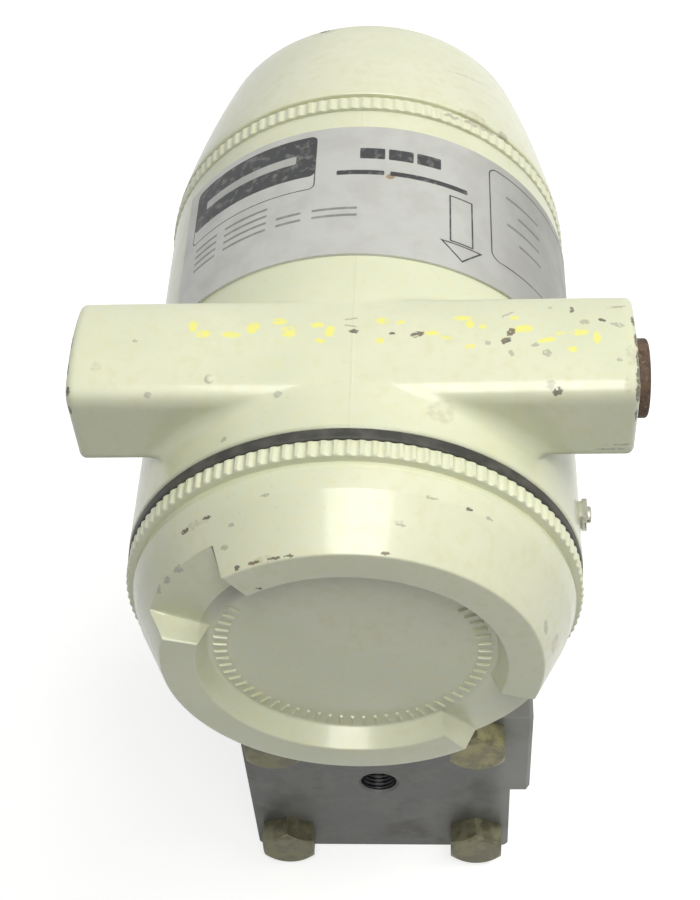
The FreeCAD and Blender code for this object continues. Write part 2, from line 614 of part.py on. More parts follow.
def make_conduit_plug():
    """Steel pipe plug in the right hub, with a hexagon socket."""
    inner_end = BAR_RIGHT - PLUG_LENGTH
    shank = cylinder_x(CONDUIT_RADIUS - PLUG_PLAY, inner_end, PLUG_LENGTH, -CONDUIT_AHEAD, CONDUIT_Z)
    head = cylinder_x(PLUG_HEAD_RADIUS, BAR_RIGHT, PLUG_PROUD, -CONDUIT_AHEAD, CONDUIT_Z)
    head = head.makeFillet(PLUG_EDGE, [e for e in head.Edges if e.BoundBox.XMin > BAR_RIGHT + 1e-3])
    face = V(BAR_RIGHT + PLUG_PROUD, -CONDUIT_AHEAD, CONDUIT_Z)
    socket = hexagon(PLUG_SOCKET_ACROSS, PLUG_SOCKET_DEPTH, face, V(-1, 0, 0))
    return shank.fuse(head).cut(socket)


def knurl_ring(crest, place, direction):
    """Ring of straight axial ridges round a cover's flange."""
    root = crest - KNURL_DEPTH
    step = 2 * math.pi / KNURL_COUNT
    points = []
    for i in range(KNURL_COUNT):
        for share, radius in ((0.0, root), (0.25, crest), (0.6, crest), (0.85, root)):
            angle = (i + share) * step
            points.append(V(radius * math.cos(angle), radius * math.sin(angle), 0))
    ring = Part.Face(Part.makePolygon(points + points[:1])).extrude(V(0, 0, KNURL_WIDTH))
    ring = ring.cut(Part.makeCylinder(root - KNURL_DEPTH, KNURL_WIDTH))
    ring.Placement = FreeCAD.Placement(place, FreeCAD.Rotation(V(0, 0, 1), direction))
    return ring


def make_cover(side, flange, length, crest, shoulder, end_radius, swell, band, skirt_length, notch_start):
    """Screwed cover: threaded skirt, knurled flange, conical cap and a raised ring with two wrench notches.

    side is -1 for the front cover and +1 for the rear one.
    flange is the distance of its seal face from the neck axis.
    swell is how far the side of the cap bows out.
    band is the (length, taper) of a flatter first part of the cap, where there is one.
    """
    root = crest - KNURL_DEPTH
    cone_start = KNURL_WIDTH + KNURL_GROOVE_WIDTH
    floor = length - RING_HEIGHT
    ring_inner = end_radius - RING_WIDTH
    band_end = cone_start + (band[0] if band else 0)
    band_radius = shoulder - (band[1] if band else 0)
    slope = (band_radius - end_radius) / (length - band_end)
    ceiling = floor - COVER_WALL
    ceiling_radius = min(SKIRT_INNER, end_radius + slope * (length - ceiling) - COVER_WALL)
    profile = [
        (SKIRT_INNER, -skirt_length),
        (SKIRT_RADIUS, -skirt_length),
        (SKIRT_RADIUS, 0),
        (root, 0),
        (root, KNURL_WIDTH),
        (root - KNURL_GROOVE_DEPTH, KNURL_WIDTH),
        (root - KNURL_GROOVE_DEPTH, cone_start),
        (shoulder, cone_start),
        (end_radius + slope * RING_EDGE, length - RING_EDGE, swell),
        (end_radius - RING_EDGE, length),
        (ring_inner + RING_EDGE, length),
        (ring_inner, length - RING_EDGE),
        (ring_inner - RING_DRAFT, floor),
        (0, floor),
        (0, ceiling),
        (ceiling_radius, ceiling),
        (SKIRT_INNER, 0),
    ]
    if band:
        profile.insert(8, (band_radius, band_end))
    place = V(0, side * flange, AXIS_Z)
    out = V(0, side, 0)
    cover = turned(profile, place, out).fuse(knurl_ring(crest, place, out))
    # Wrench notches through the raised ring, opposite each other, with floors that fall away outwards
    far = 2 * crest
    foot = ring_inner - RING_DRAFT
    fall = NOTCH_FALL / (end_radius - foot) * (far - foot)
    above = turned([(foot, floor), (far, floor - fall), (far, 2 * length), (foot, 2 * length)], place, out)
    notches = []
    for turn in (0, 180):
        start = math.radians(notch_start + turn)
        end = math.radians(notch_start + NOTCH_SWEEP + turn)
        corners = [V(0, 0, 0), V(far * math.cos(start), 0, far * math.sin(start)),
                   V(far * math.cos(end), 0, far * math.sin(end)), V(0, 0, 0)]
        wedge = Part.Face(Part.makePolygon(corners)).extrude(V(0, side * 2 * length, 0))
        wedge.translate(place)
        notches.append(wedge.common(above))
    return cover.cut(notches)


def make_seal(side, start, width, outer):
    """Rubber seal ring with rounded outer corners, between a cover's flange and the housing."""
    place = V(0, side * start, AXIS_Z)
    out = V(0, side, 0)
    ring = Part.makeCylinder(outer, width, place, out)
    ring = ring.makeFillet(SEAL_EDGE, [e for e in ring.Edges if e.BoundBox.XLength > outer])
    return ring.cut(Part.makeCylinder(SEAL_INNER, width, place, out))


def make_nameplate():
    """Rolled aluminium plate bonded round the top of the barrel."""
    inner = BARREL_RADIUS + PLATE_GLUE
    start = math.radians(PLATE_START)
    outer = inner + PLATE_THICK
    corners = [V(r * math.cos(start), -PLATE_FRONT + y, AXIS_Z + r * math.sin(start))
               for r, y in ((inner, 0), (outer, 0), (outer, PLATE_WIDTH), (inner, PLATE_WIDTH))]
    section = Part.Face(Part.makePolygon(corners + corners[:1]))
    return section.revolve(V(0, 0, AXIS_Z), V(0, -1, 0), PLATE_SWEEP)


def terminal_places():
    """Places of the terminal screws along the block."""
    first = -(TERMINAL_COUNT - 1) * TERMINAL_PITCH / 2
    return [first + i * TERMINAL_PITCH for i in range(TERMINAL_COUNT)]


def make_terminal_block():
    """Moulded terminal block on the dividing wall, with barriers between its terminals."""
    rear = -DIVIDER_FRONT
    front = rear - BLOCK_DEPTH
    half = BLOCK_WIDTH / 2
    body = block((-half, front, BLOCK_Z - BLOCK_HEIGHT / 2), (half, rear, BLOCK_Z + BLOCK_HEIGHT / 2))
    body = body.makeFillet(BLOCK_EDGE, [e for e in body.Edges if abs(e.Length - BLOCK_DEPTH) < 1e-6])
    places = terminal_places()
    barriers = []
    for x in [p - TERMINAL_PITCH / 2 for p in places] + [places[-1] + TERMINAL_PITCH / 2]:
        low = (x - BARRIER_THICK / 2, front - BARRIER_HEIGHT, BLOCK_Z - BLOCK_HEIGHT / 3)
        high = (x + BARRIER_THICK / 2, front, BLOCK_Z + BLOCK_HEIGHT / 3)
        barriers.append(block(low, high))
    body = body.fuse(barriers).removeSplitter()
    pocket_depth = FEED_FRONT + FEED_POCKET_PLAY
    cuts = [cylinder_y(FEED_FLANGE + FEED_POCKET_PLAY, rear - pocket_depth, pocket_depth, 0, BLOCK_Z)]
    for x in places:
        cuts.append(cylinder_y(TERMINAL_SCREW_RADIUS + SCREW_PLAY, front, TERMINAL_SCREW_DEPTH, x, BLOCK_Z))
    for x in (-BLOCK_SCREW_X, BLOCK_SCREW_X):
        cuts.append(cylinder_y(BLOCK_SCREW_RADIUS + SCREW_PLAY, front, BLOCK_DEPTH, x, BLOCK_Z))
    return body.cut(cuts)


def pan_screws(places, radius, head_radius, head_height, seat, length):
    """Slotted pan-head screws along +Y, one at each (x, z) place, heads in front of the seat."""
    screws = []
    for x, z in places:
        screw = cylinder_y(head_radius, seat - head_height, head_height, x, z)
        screw = screw.fuse(cylinder_y(radius, seat, length, x, z))
        top = seat - head_height
        slot = block((x - head_radius, top, z - DRIVER_SLOT_WIDTH / 2),
                     (x + head_radius, top + DRIVER_SLOT_DEPTH, z + DRIVER_SLOT_WIDTH / 2))
        screws.append(screw.cut(slot))
    return Part.makeCompound(screws)


def make_terminal_screws():
    places = [(x, BLOCK_Z) for x in terminal_places()]
    front = -DIVIDER_FRONT - BLOCK_DEPTH
    return pan_screws(places, TERMINAL_SCREW_RADIUS, TERMINAL_HEAD_RADIUS, TERMINAL_HEAD_HEIGHT, front,
                      TERMINAL_SCREW_DEPTH)


def make_block_screws():
    places = [(x, BLOCK_Z) for x in (-BLOCK_SCREW_X, BLOCK_SCREW_X)]
    front = -DIVIDER_FRONT - BLOCK_DEPTH
    return pan_screws(places, BLOCK_SCREW_RADIUS, BLOCK_SCREW_HEAD, BLOCK_SCREW_HEAD_HEIGHT, front,
                      BLOCK_DEPTH + BLOCK_SCREW_BITE)


def make_feedthrough():
    """Sealed bushing that carries the loop through the dividing wall."""
    start = -DIVIDER_FRONT - FEED_FRONT
    body = cylinder_y(FEED_RADIUS, start, FEED_FRONT + DIVIDER_THICK + FEED_REAR, 0, BLOCK_Z)
    flange = cylinder_y(FEED_FLANGE, -DIVIDER_FRONT - FEED_FLANGE_THICK, FEED_FLANGE_THICK, 0, BLOCK_Z)
    return body.fuse(flange)


def spacer_places():
    """Places of the board spacers on their circle, with the lowest gap over the neck bore."""
    step = 2 * math.pi / SPACER_COUNT
    angles = [math.pi / 2 + i * step for i in range(SPACER_COUNT)]
    return [(SPACER_CIRCLE * math.cos(a), AXIS_Z + SPACER_CIRCLE * math.sin(a)) for a in angles]


def make_spacers():
    """Pillars between the dividing wall and the boards; each board is clamped between two lengths."""
    hole_radius = BOARD_SCREW_RADIUS + SCREW_PLAY
    pillars = []
    for x, z in spacer_places():
        front = cylinder_y(SPACER_RADIUS, -DIVIDER_REAR, POWER_BOARD_Y + DIVIDER_REAR, x, z)
        rear = cylinder_y(SPACER_RADIUS, POWER_BOARD_Y + BOARD_THICK, BOARD_GAP, x, z)
        hole = cylinder_y(hole_radius, POWER_BOARD_Y + BOARD_THICK, BOARD_GAP, x, z)
        bite = cylinder_y(hole_radius, POWER_BOARD_Y - BOARD_SCREW_BITE, BOARD_SCREW_BITE, x, z)
        pillars.append(front.cut(bite))
        pillars.append(rear.cut(hole))
    return Part.makeCompound(pillars)


def make_board(front, parts):
    """Round circuit board with its soldered components, clear of the spacer screws."""
    board = cylinder_y(BOARD_RADIUS, front, BOARD_THICK, 0, AXIS_Z)
    board = board.fuse(parts)
    hole_radius = BOARD_SCREW_RADIUS + SCREW_PLAY
    holes = [cylinder_y(hole_radius, front, BOARD_THICK, x, z) for x, z in spacer_places()]
    return board.cut(holes)


def make_power_board():
    """Supply board: ribbon socket in front, coil and capacitors behind."""
    half = RIBBON_WIDTH / 2 + RIBBON_SOCKET_WALL
    low = ribbon_top() - RIBBON_SOCKET_HEIGHT / 2
    socket = block((-half, POWER_BOARD_Y - RIBBON_SOCKET_DEPTH, low),
                   (half, POWER_BOARD_Y, low + RIBBON_SOCKET_HEIGHT))
    back = POWER_BOARD_Y + BOARD_THICK
    tall = BOARD_GAP - TALL_PART_CLEARANCE
    coil_z = AXIS_Z - COIL_DROP
    coil = block((-COIL_LEFT - COIL_WIDTH / 2, back, coil_z - COIL_HEIGHT / 2),
                 (-COIL_LEFT + COIL_WIDTH / 2, back + tall, coil_z + COIL_HEIGHT / 2))
    capacitors = []
    for x in (CAPACITOR_RIGHT - CAPACITOR_PITCH / 2, CAPACITOR_RIGHT + CAPACITOR_PITCH / 2):
        capacitors.append(cylinder_y(CAPACITOR_RADIUS, back, tall, x, AXIS_Z + CAPACITOR_RISE))
    return make_board(POWER_BOARD_Y, [socket, coil] + capacitors)


def make_main_board():
    """Processor board, with its chips on the rear face."""
    back = MAIN_BOARD_Y + BOARD_THICK
    chips = []
    for x, width in ((0, CHIP_WIDTH), (-DRIVER_OFFSET, DRIVER_WIDTH), (DRIVER_OFFSET, DRIVER_WIDTH)):
        half = width / 2
        chips.append(block((x - half, back, AXIS_Z - half), (x + half, back + CHIP_THICK, AXIS_Z + half)))
    return make_board(MAIN_BOARD_Y, chips)


def make_board_screws():
    """Screws that clamp both boards and the rear pillars to the front pillars."""
    screws = []
    rear = MAIN_BOARD_Y + BOARD_THICK
    length = rear - POWER_BOARD_Y + BOARD_SCREW_BITE
    for x, z in spacer_places():
        head = cylinder_y(BOARD_SCREW_HEAD, rear, BOARD_SCREW_HEAD_HEIGHT, x, z)
        shank = cylinder_y(BOARD_SCREW_RADIUS, rear - length, length, x, z)
        top = rear + BOARD_SCREW_HEAD_HEIGHT
        slot = block((x - BOARD_SCREW_HEAD, top - DRIVER_SLOT_DEPTH, z - DRIVER_SLOT_WIDTH / 2),
                     (x + BOARD_SCREW_HEAD, top, z + DRIVER_SLOT_WIDTH / 2))
        screws.append(head.fuse(shank).cut(slot))
    return Part.makeCompound(screws)


def ribbon_plug_base():
    return STUB_TOP_Z + RIBBON_PLUG_GAP


def ribbon_top():
    """Height of the ribbon where it enters the socket on the power board."""
    return ribbon_plug_base() + RIBBON_PLUG_HEIGHT + RIBBON_RISE


def make_ribbon_plug():
    """Round cap over the header pins, on the neck axis so that it may turn with the housing."""
    base = ribbon_plug_base()
    cap = cylinder_z(RIBBON_PLUG_RADIUS, base, RIBBON_PLUG_HEIGHT, 0, 0)
    depth = RIBBON_PLUG_HEIGHT - RIBBON_PLUG_WALL
    hollow = cylinder_z(RIBBON_PLUG_RADIUS - RIBBON_PLUG_WALL, base, depth, 0, 0)
    return cap.cut(hollow)


def make_ribbon():
    """Flat sensor lead from the plug up to the socket on the power board."""
    start = ribbon_plug_base() + RIBBON_PLUG_HEIGHT
    top = ribbon_top()
    half = RIBBON_THICK / 2
    rise = block((-RIBBON_WIDTH / 2, -half, start), (RIBBON_WIDTH / 2, half, top - RIBBON_BEND))
    run = block((-RIBBON_WIDTH / 2, RIBBON_BEND, top - half),
                (RIBBON_WIDTH / 2, POWER_BOARD_Y - RIBBON_SOCKET_DEPTH, top + half))
    centre = V(-RIBBON_WIDTH / 2, RIBBON_BEND, top - RIBBON_BEND)
    bend = Part.makeCylinder(RIBBON_BEND + half, RIBBON_WIDTH, centre, V(1, 0, 0))
    bend = bend.cut(Part.makeCylinder(RIBBON_BEND - half, RIBBON_WIDTH, centre, V(1, 0, 0)))
    corner = block((-RIBBON_WIDTH / 2, -half, top - RIBBON_BEND), (RIBBON_WIDTH / 2, RIBBON_BEND, top + half))
    return rise.fuse([run, bend.common(corner)]).removeSplitter()


def make_parts():
    skirt_front = FRONT_SEAL_WIDTH + COVER_SKIRT_LENGTH
    skirt_rear = REAR_SEAL_SHOW + COVER_SKIRT_LENGTH
    return {
        "front_process_head": make_head(-1),
        "rear_process_head": make_head(1),
        "front_head_gasket": make_gasket(-1),
        "rear_head_gasket": make_gasket(1),
        "front_diaphragm": make_diaphragm(-1),
        "rear_diaphragm": make_diaphragm(1),
        "head_bolts": make_head_bolts(),
        "head_nuts": make_head_nuts(),
        "sensor_body": make_sensor_body(),
        "neck_seal_ring": make_neck_ring(),
        "sensor_header": make_sensor_header(),
        "electronics_housing": make_housing(),
        "lock_screw": make_lock_screw(),
        "ground_clamp": make_ground_clamp(),
        "ground_screw": make_ground_screw(),
        "conduit_plug": make_conduit_plug(),
        "nameplate": make_nameplate(),
        "terminal_block": make_terminal_block(),
        "terminal_screws": make_terminal_screws(),
        "block_screws": make_block_screws(),
        "feedthrough": make_feedthrough(),
        "board_spacers": make_spacers(),
        "power_board": make_power_board(),
        "main_board": make_main_board(),
        "board_screws": make_board_screws(),
        "ribbon_plug": make_ribbon_plug(),
        "sensor_ribbon": make_ribbon(),
        "front_cover_seal": make_seal(-1, BARREL_FRONT, FRONT_SEAL_WIDTH, FRONT_SEAL_RADIUS),
        "rear_cover_seal": make_seal(1, BARREL_REAR - REAR_SEAL_DEPTH, REAR_SEAL_DEPTH + REAR_SEAL_SHOW,
                                     REAR_SEAL_RADIUS),
        "front_cover": make_cover(-1, FRONT_FLANGE, COVER_LENGTH_FRONT, KNURL_CREST_FRONT, COVER_SHOULDER_FRONT,
                                  COVER_END_FRONT, 0, (COVER_BAND_LENGTH, COVER_BAND_TAPER), skirt_front,
                                  NOTCH_START_FRONT),
        "rear_cover": make_cover(1, REAR_FLANGE, COVER_LENGTH_REAR, KNURL_CREST_REAR, COVER_SHOULDER_REAR,
                                 COVER_END_REAR, COVER_SWELL_REAR, None, skirt_rear, NOTCH_START_REAR),
    }


os.makedirs("parts", exist_ok=True)
for node, shape in make_parts().items():
    shape.exportStep("parts/" + node + ".step")
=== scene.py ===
import math

import bmesh
import bpy
from mathutils import Matrix, Vector


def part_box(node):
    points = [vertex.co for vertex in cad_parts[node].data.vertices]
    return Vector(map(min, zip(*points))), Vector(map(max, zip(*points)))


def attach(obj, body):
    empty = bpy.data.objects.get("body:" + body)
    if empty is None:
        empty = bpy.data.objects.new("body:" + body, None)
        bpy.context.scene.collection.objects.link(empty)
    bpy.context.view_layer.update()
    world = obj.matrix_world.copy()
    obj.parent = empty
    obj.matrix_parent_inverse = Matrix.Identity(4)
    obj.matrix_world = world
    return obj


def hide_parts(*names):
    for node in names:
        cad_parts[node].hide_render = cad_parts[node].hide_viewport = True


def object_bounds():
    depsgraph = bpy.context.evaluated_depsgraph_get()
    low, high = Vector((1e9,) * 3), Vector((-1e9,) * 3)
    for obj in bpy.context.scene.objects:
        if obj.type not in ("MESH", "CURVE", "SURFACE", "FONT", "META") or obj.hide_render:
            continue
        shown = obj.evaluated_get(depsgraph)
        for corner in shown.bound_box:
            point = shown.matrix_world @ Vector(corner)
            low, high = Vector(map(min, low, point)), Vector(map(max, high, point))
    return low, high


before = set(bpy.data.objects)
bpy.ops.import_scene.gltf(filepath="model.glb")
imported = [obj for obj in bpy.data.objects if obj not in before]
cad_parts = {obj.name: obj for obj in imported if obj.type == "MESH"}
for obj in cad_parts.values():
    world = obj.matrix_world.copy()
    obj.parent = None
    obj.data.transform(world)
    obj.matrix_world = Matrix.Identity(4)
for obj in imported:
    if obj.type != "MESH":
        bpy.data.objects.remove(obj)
cad_low, cad_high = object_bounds()

# Studio: a plain pale floor that runs on into a white background, a bright ceiling panel above and before
# the object, a wide soft light from behind on the right, and weak bluish light from all round.
# The eye looks down on the front cover.
MM = 0.001
FRAME_HEIGHT_PX = 900
FOCAL_PX = 1651.7
SENSOR_MM = 36.0
EYE_MM = (24.85, -323.55, 537.2)
EYE_YAW = 5.346
EYE_DOWN = 49.42
EYE_ROLL = -4.529
FLOOR_HALF = 6.0
FLOOR_PALE = (0.50, 0.50, 0.495, 1.0)
FLOOR_LIFT = 0.74
FILL_COLOUR = (0.88, 0.92, 1.0, 1.0)
FILL_STRENGTH = 0.145
PANEL_AT = (0.087, -0.46, 1.20)
PANEL_SIZE = (0.57, 0.50)
PANEL_WATTS = 6.5
PANEL_FRONT = -1.5
SOFT_AT = (0.75, 0.27, 1.50)
SOFT_TARGET = (0.0, 0.0, 0.15)
SOFT_SIZE = 1.1
SOFT_WATTS = 16.6
LAMP_COLOUR = (1.0, 0.99, 0.91)


def add(tree, kind, values=None, **settings):
    """Adds a shader node, sets its options, and fills its inputs with numbers or links."""
    made = tree.nodes.new("ShaderNode" + kind)
    for name, setting in settings.items():
        setattr(made, name, setting)
    for key, value in (values or {}).items():
        if isinstance(value, bpy.types.NodeSocket):
            tree.links.new(value, made.inputs[key])
        else:
            made.inputs[key].default_value = value
    return made


def maths(tree, operation, first, second=0.0):
    """Result of a sum on two numbers or sockets."""
    return add(tree, "Math", {0: first, 1: second}, operation=operation).outputs[0]


def seen_directly(tree):
    """1 for rays that show the background: from the eye, in a mirror or through glass."""
    rays = add(tree, "LightPath").outputs
    shown = maths(tree, "MAXIMUM", rays["Is Camera Ray"], rays["Is Glossy Ray"])
    return maths(tree, "MAXIMUM", shown, rays["Is Transmission Ray"])


def put_in_scene(name, data):
    made = bpy.data.objects.new(name, data)
    bpy.context.scene.collection.objects.link(made)
    return made


floor_mesh = bpy.data.meshes.new("studio_floor")
floor_corners = [(-1, -1), (1, -1), (1, 1), (-1, 1)]
floor_points = [(x * FLOOR_HALF, y * FLOOR_HALF, cad_low.z) for x, y in floor_corners]
floor_mesh.from_pydata(floor_points, [], [(0, 1, 2, 3)])
floor = put_in_scene("studio_floor", floor_mesh)
floor_finish = bpy.data.materials.new("studio_floor")
floor_finish.use_nodes = True
tree = floor_finish.node_tree
tree.nodes.clear()
matt = add(tree, "BsdfDiffuse", {"Color": FLOOR_PALE})
glow = add(tree, "Emission", {"Strength": maths(tree, "MULTIPLY", seen_directly(tree), FLOOR_LIFT)})
lifted = add(tree, "AddShader", {0: matt.outputs[0], 1: glow.outputs[0]})
add(tree, "OutputMaterial", {"Surface": lifted.outputs[0]})
floor_mesh.materials.append(floor_finish)

world = bpy.data.worlds.new("studio")
bpy.context.scene.world = world
world.use_nodes = True
tree = world.node_tree
tree.nodes.clear()
fill = add(tree, "Background", {"Color": FILL_COLOUR, "Strength": FILL_STRENGTH})
white = add(tree, "Background", {"Color": (1.0, 1.0, 1.0, 1.0), "Strength": 1.0})
both = add(tree, "MixShader", {0: seen_directly(tree), 1: fill.outputs[0], 2: white.outputs[0]})
add(tree, "OutputWorld", {"Surface": both.outputs[0]})


def lamp(name, place, size, watts, target):
    """Rectangular soft light that faces a target."""
    light = bpy.data.lights.new(name, "AREA")
    light.shape = "RECTANGLE"
    light.size, light.size_y = size
    light.energy = watts
    light.color = LAMP_COLOUR
    made = put_in_scene(name, light)
    made.location = place
    made.rotation_euler = (Vector(target) - made.location).to_track_quat("-Z", "Y").to_euler()
    return made


lamp("ceiling_panel", PANEL_AT, PANEL_SIZE, PANEL_WATTS, (PANEL_AT[0], PANEL_AT[1], 0.0))
# The panel runs on to the front. That part only shows in the gloss and lights nothing.
panel_edge = PANEL_AT[1] - PANEL_SIZE[1] / 2
run_on = (PANEL_AT[0], (panel_edge + PANEL_FRONT) / 2, PANEL_AT[2])
run_on_size = (PANEL_SIZE[0], panel_edge - PANEL_FRONT)
run_on_lamp = lamp("ceiling_panel_front", run_on, run_on_size, PANEL_WATTS * run_on_size[1] / PANEL_SIZE[1],
                   (run_on[0], run_on[1], 0.0))
run_on_lamp.visible_diffuse = False
soft_lamp = lamp("right_soft_light", SOFT_AT, (SOFT_SIZE, SOFT_SIZE), SOFT_WATTS, SOFT_TARGET)
soft_lamp.visible_glossy = False

camera_data = bpy.data.cameras.new("eye")
camera_data.sensor_width = SENSOR_MM
camera_data.lens = FOCAL_PX * SENSOR_MM / FRAME_HEIGHT_PX
camera = put_in_scene("eye", camera_data)
turn = Matrix.Rotation(math.radians(EYE_YAW), 4, "Z") @ Matrix.Rotation(math.radians(90 - EYE_DOWN), 4, "X")
turn = turn @ Matrix.Rotation(math.radians(EYE_ROLL), 4, "Z")
camera.matrix_world = Matrix.Translation(Vector(EYE_MM) * MM) @ turn
bpy.context.scene.camera = camera
bpy.context.scene.view_settings.view_transform = "Standard"

# Process heads: two machined steel blocks, dulled dark grey and stained; the pad on the right of each is
# painted paler, which is painted light.
# Their vent and process ports are drilled and cut with pipe threads, coloured near black as painted shade
# inside the bores.
HEAD_GREY = (0.132, 0.133, 0.130, 1.0)
HEAD_PALE = (0.188, 0.188, 0.180, 1.0)
# Paler colour for the pads: painted light, as they stand clear of the covers' shadow.
HEAD_PAD_LIT = (0.27, 0.27, 0.26, 1.0)
HEAD_STAIN = (0.078, 0.075, 0.064, 1.0)
HEAD_EDGE_BRIGHT = (0.34, 0.34, 0.32, 1.0)
HEAD_METALLIC = 0.45
HEAD_ROUGHNESS = (0.45, 0.62)
HEAD_GRAIN_RUN = (1, 1, 14)
HEAD_GRAIN_DEPTH = 0.03
HEAD_PITTING_DEPTH = 0.05
HEAD_EASE = 0.5
HEAD_STAIN_SHARE = 0.65
HEAD_EDGE_SHARE = 0.3
PAD_LIGHT_SHARE = 0.6
PAD_LIGHT_FROM = 36
PAD_LIGHT_FULL = 43
# Near-black thread colours: painted shade inside the ports.
PORT_SHADE_BLACK = (0.016, 0.016, 0.018, 1.0)
PORT_SHADE_GREY = (0.045, 0.045, 0.050, 1.0)
PORT_METALLIC = 0.8
PORT_ROUGHNESS = (0.40, 0.54)
PORT_RADIUS = 5.9
PORT_PITCH = 1.41
PORT_THREAD_DEPTH = 0.55
PORT_THREAD_LENGTH = 10.5
PORT_CHAMFER = 0.9
VENT_HEIGHT = 43.7
PROCESS_PORT_HEIGHT = 62.9
PROCESS_PORT_SPACING = 54.0
NOISE_LOW = 0.3
NOISE_HIGH = 0.7
THREAD_COLUMNS = 72
THREAD_STEPS = 8
SLACK = 0.02


def new_finish(name):
    """An empty node material, its tree, its shader, and the surface place in millimetres."""
    finish = bpy.data.materials.new(name)
    finish.use_nodes = True
    tree = finish.node_tree
    metres = add(tree, "TexCoord").outputs["Object"]
    place = add(tree, "VectorMath", {0: metres, "Scale": 1 / MM}, operation="SCALE").outputs["Vector"]
    return finish, tree, tree.nodes["Principled BSDF"], place


def grade(tree, value, start, end, low=0.0, high=1.0):
    """Eases from low to high while the value goes from start to end."""
    limits = {"Value": value, "From Min": start, "From Max": end, "To Min": low, "To Max": high}
    return add(tree, "MapRange", limits, interpolation_type="SMOOTHSTEP").outputs["Result"]


def clouds(tree, place, size, detail=3.0, stretch=(1, 1, 1)):
    """Cloudy variation about 0.5 whose blotches are size millimetres across, times the stretch."""
    squeezed = add(tree, "VectorMath", {0: place, 1: [1 / (size * s) for s in stretch]}, operation="MULTIPLY")
    values = {"Vector": squeezed.outputs["Vector"], "Scale": 1.0, "Detail": detail, "Roughness": 0.55}
    return add(tree, "TexNoise", values).outputs["Fac"]


def mix(tree, share, first, second):
    """Blends two colours."""
    return add(tree, "Mix", {0: share, 6: first, 7: second}, data_type="RGBA").outputs[2]


def laid_over(tree, colour, share, strength, over):
    """Blends a colour over another by a share times a strength."""
    return mix(tree, maths(tree, "MULTIPLY", share, strength), colour, over)


def dulling(tree, noise, limits):
    """Roughness that follows a noise between two limits."""
    return grade(tree, noise, NOISE_LOW, NOISE_HIGH, *limits)


def wire(tree, shader, colour, roughness, normal=None):
    """Links a finish's colour, roughness and normal to its shader."""
    tree.links.new(colour, shader.inputs["Base Color"])
    tree.links.new(roughness, shader.inputs["Roughness"])
    if normal is not None:
        tree.links.new(normal, shader.inputs["Normal"])


def relief(tree, height, depth, under=None):
    """Normal of a surface raised by a height from 0 to 1, times a depth in millimetres."""
    values = {"Height": height, "Distance": depth * MM}
    if under is not None:
        values["Normal"] = under
    return add(tree, "Bump", values).outputs["Normal"]


def eased_normal(tree, width):
    """Normal of a surface whose sharp edges are rounded off by a width in millimetres."""
    return add(tree, "Bevel", {"Radius": width * MM}, samples=4).outputs["Normal"]


def edge_share(tree, eased):
    """1 along edges, where the eased normal leaves the surface's own, and 0 away from them."""
    flat = add(tree, "NewGeometry").outputs["Normal"]
    match = add(tree, "VectorMath", {0: eased, 1: flat}, operation="DOT_PRODUCT")
    return grade(tree, match.outputs["Value"], 0.99, 0.86)


def dress(finish, *names):
    """Gives CAD pieces a finish."""
    for name in names:
        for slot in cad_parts[name].material_slots:
            slot.material = finish


def loft(name, bands, finish, body):
    """Piece made of closed bands.

    A band is rows of points. Each row is a loop, and the last row meets the first.
    """
    points = []
    faces = []
    for rows in bands:
        count = len(rows[0])
        first = len(points)
        for r in range(len(rows)):
            here = first + r * count
            after = first + (r + 1) % len(rows) * count
            for c in range(count):
                beside = (c + 1) % count
                faces.append((here + c, here + beside, after + beside, after + c))
        points.extend(point for row in rows for point in row)
    return finished_piece(name, points, faces, finish, body)


def finished_piece(name, points, faces, finish, body, sharp_from=40):
    """Mesh piece with outward faces that rides on a body."""
    mesh = bpy.data.meshes.new(name)
    mesh.from_pydata(points, [], faces)
    solid = bmesh.new()
    solid.from_mesh(mesh)
    bmesh.ops.recalc_face_normals(solid, faces=solid.faces)
    solid.to_mesh(mesh)
    solid.free()
    mesh.shade_smooth()
    mesh.set_sharp_from_angle(angle=math.radians(sharp_from))
    mesh.materials.append(finish)
    made = put_in_scene(name, mesh)
    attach(made, body)
    return made


def thread_rows(mouth, inwards, radius, depth, pitch, length, backing):
    """Rows of a screw thread: flanks that wind along it, then a plain back at the backing radius.

    The depth is below zero for a thread cut in a bore. All sizes are in millimetres.
    """
    side = inwards.orthogonal().normalized()
    up = inwards.cross(side)
    steps = round(length / pitch * THREAD_STEPS)
    outs = [side * math.cos(a) + up * math.sin(a) for a in
            (2 * math.pi * c / THREAD_COLUMNS for c in range(THREAD_COLUMNS))]
    rows = []
    for s in range(steps + 1):
        along = length * s / steps
        fade = min(1.0, along / pitch, (length - along) / pitch)
        loop = []
        for c, out in enumerate(outs):
            flank = abs((along / pitch + c / THREAD_COLUMNS) % 1 * 2 - 1)
            loop.append((mouth + inwards * along + out * (radius + depth * fade * flank)) * MM)
        rows.append(loop)
    for along in (length, 0.0):
        rows.append([(mouth + inwards * along + out * backing) * MM for out in outs])
    return rows


def bore_thread(mouth, inwards, radius, depth, pitch, length):
    """Rows of a thread cut in a bore, just clear of the bore's own wall."""
    return thread_rows(mouth, inwards, radius - SLACK, -depth, pitch, length, radius - SLACK / 2)


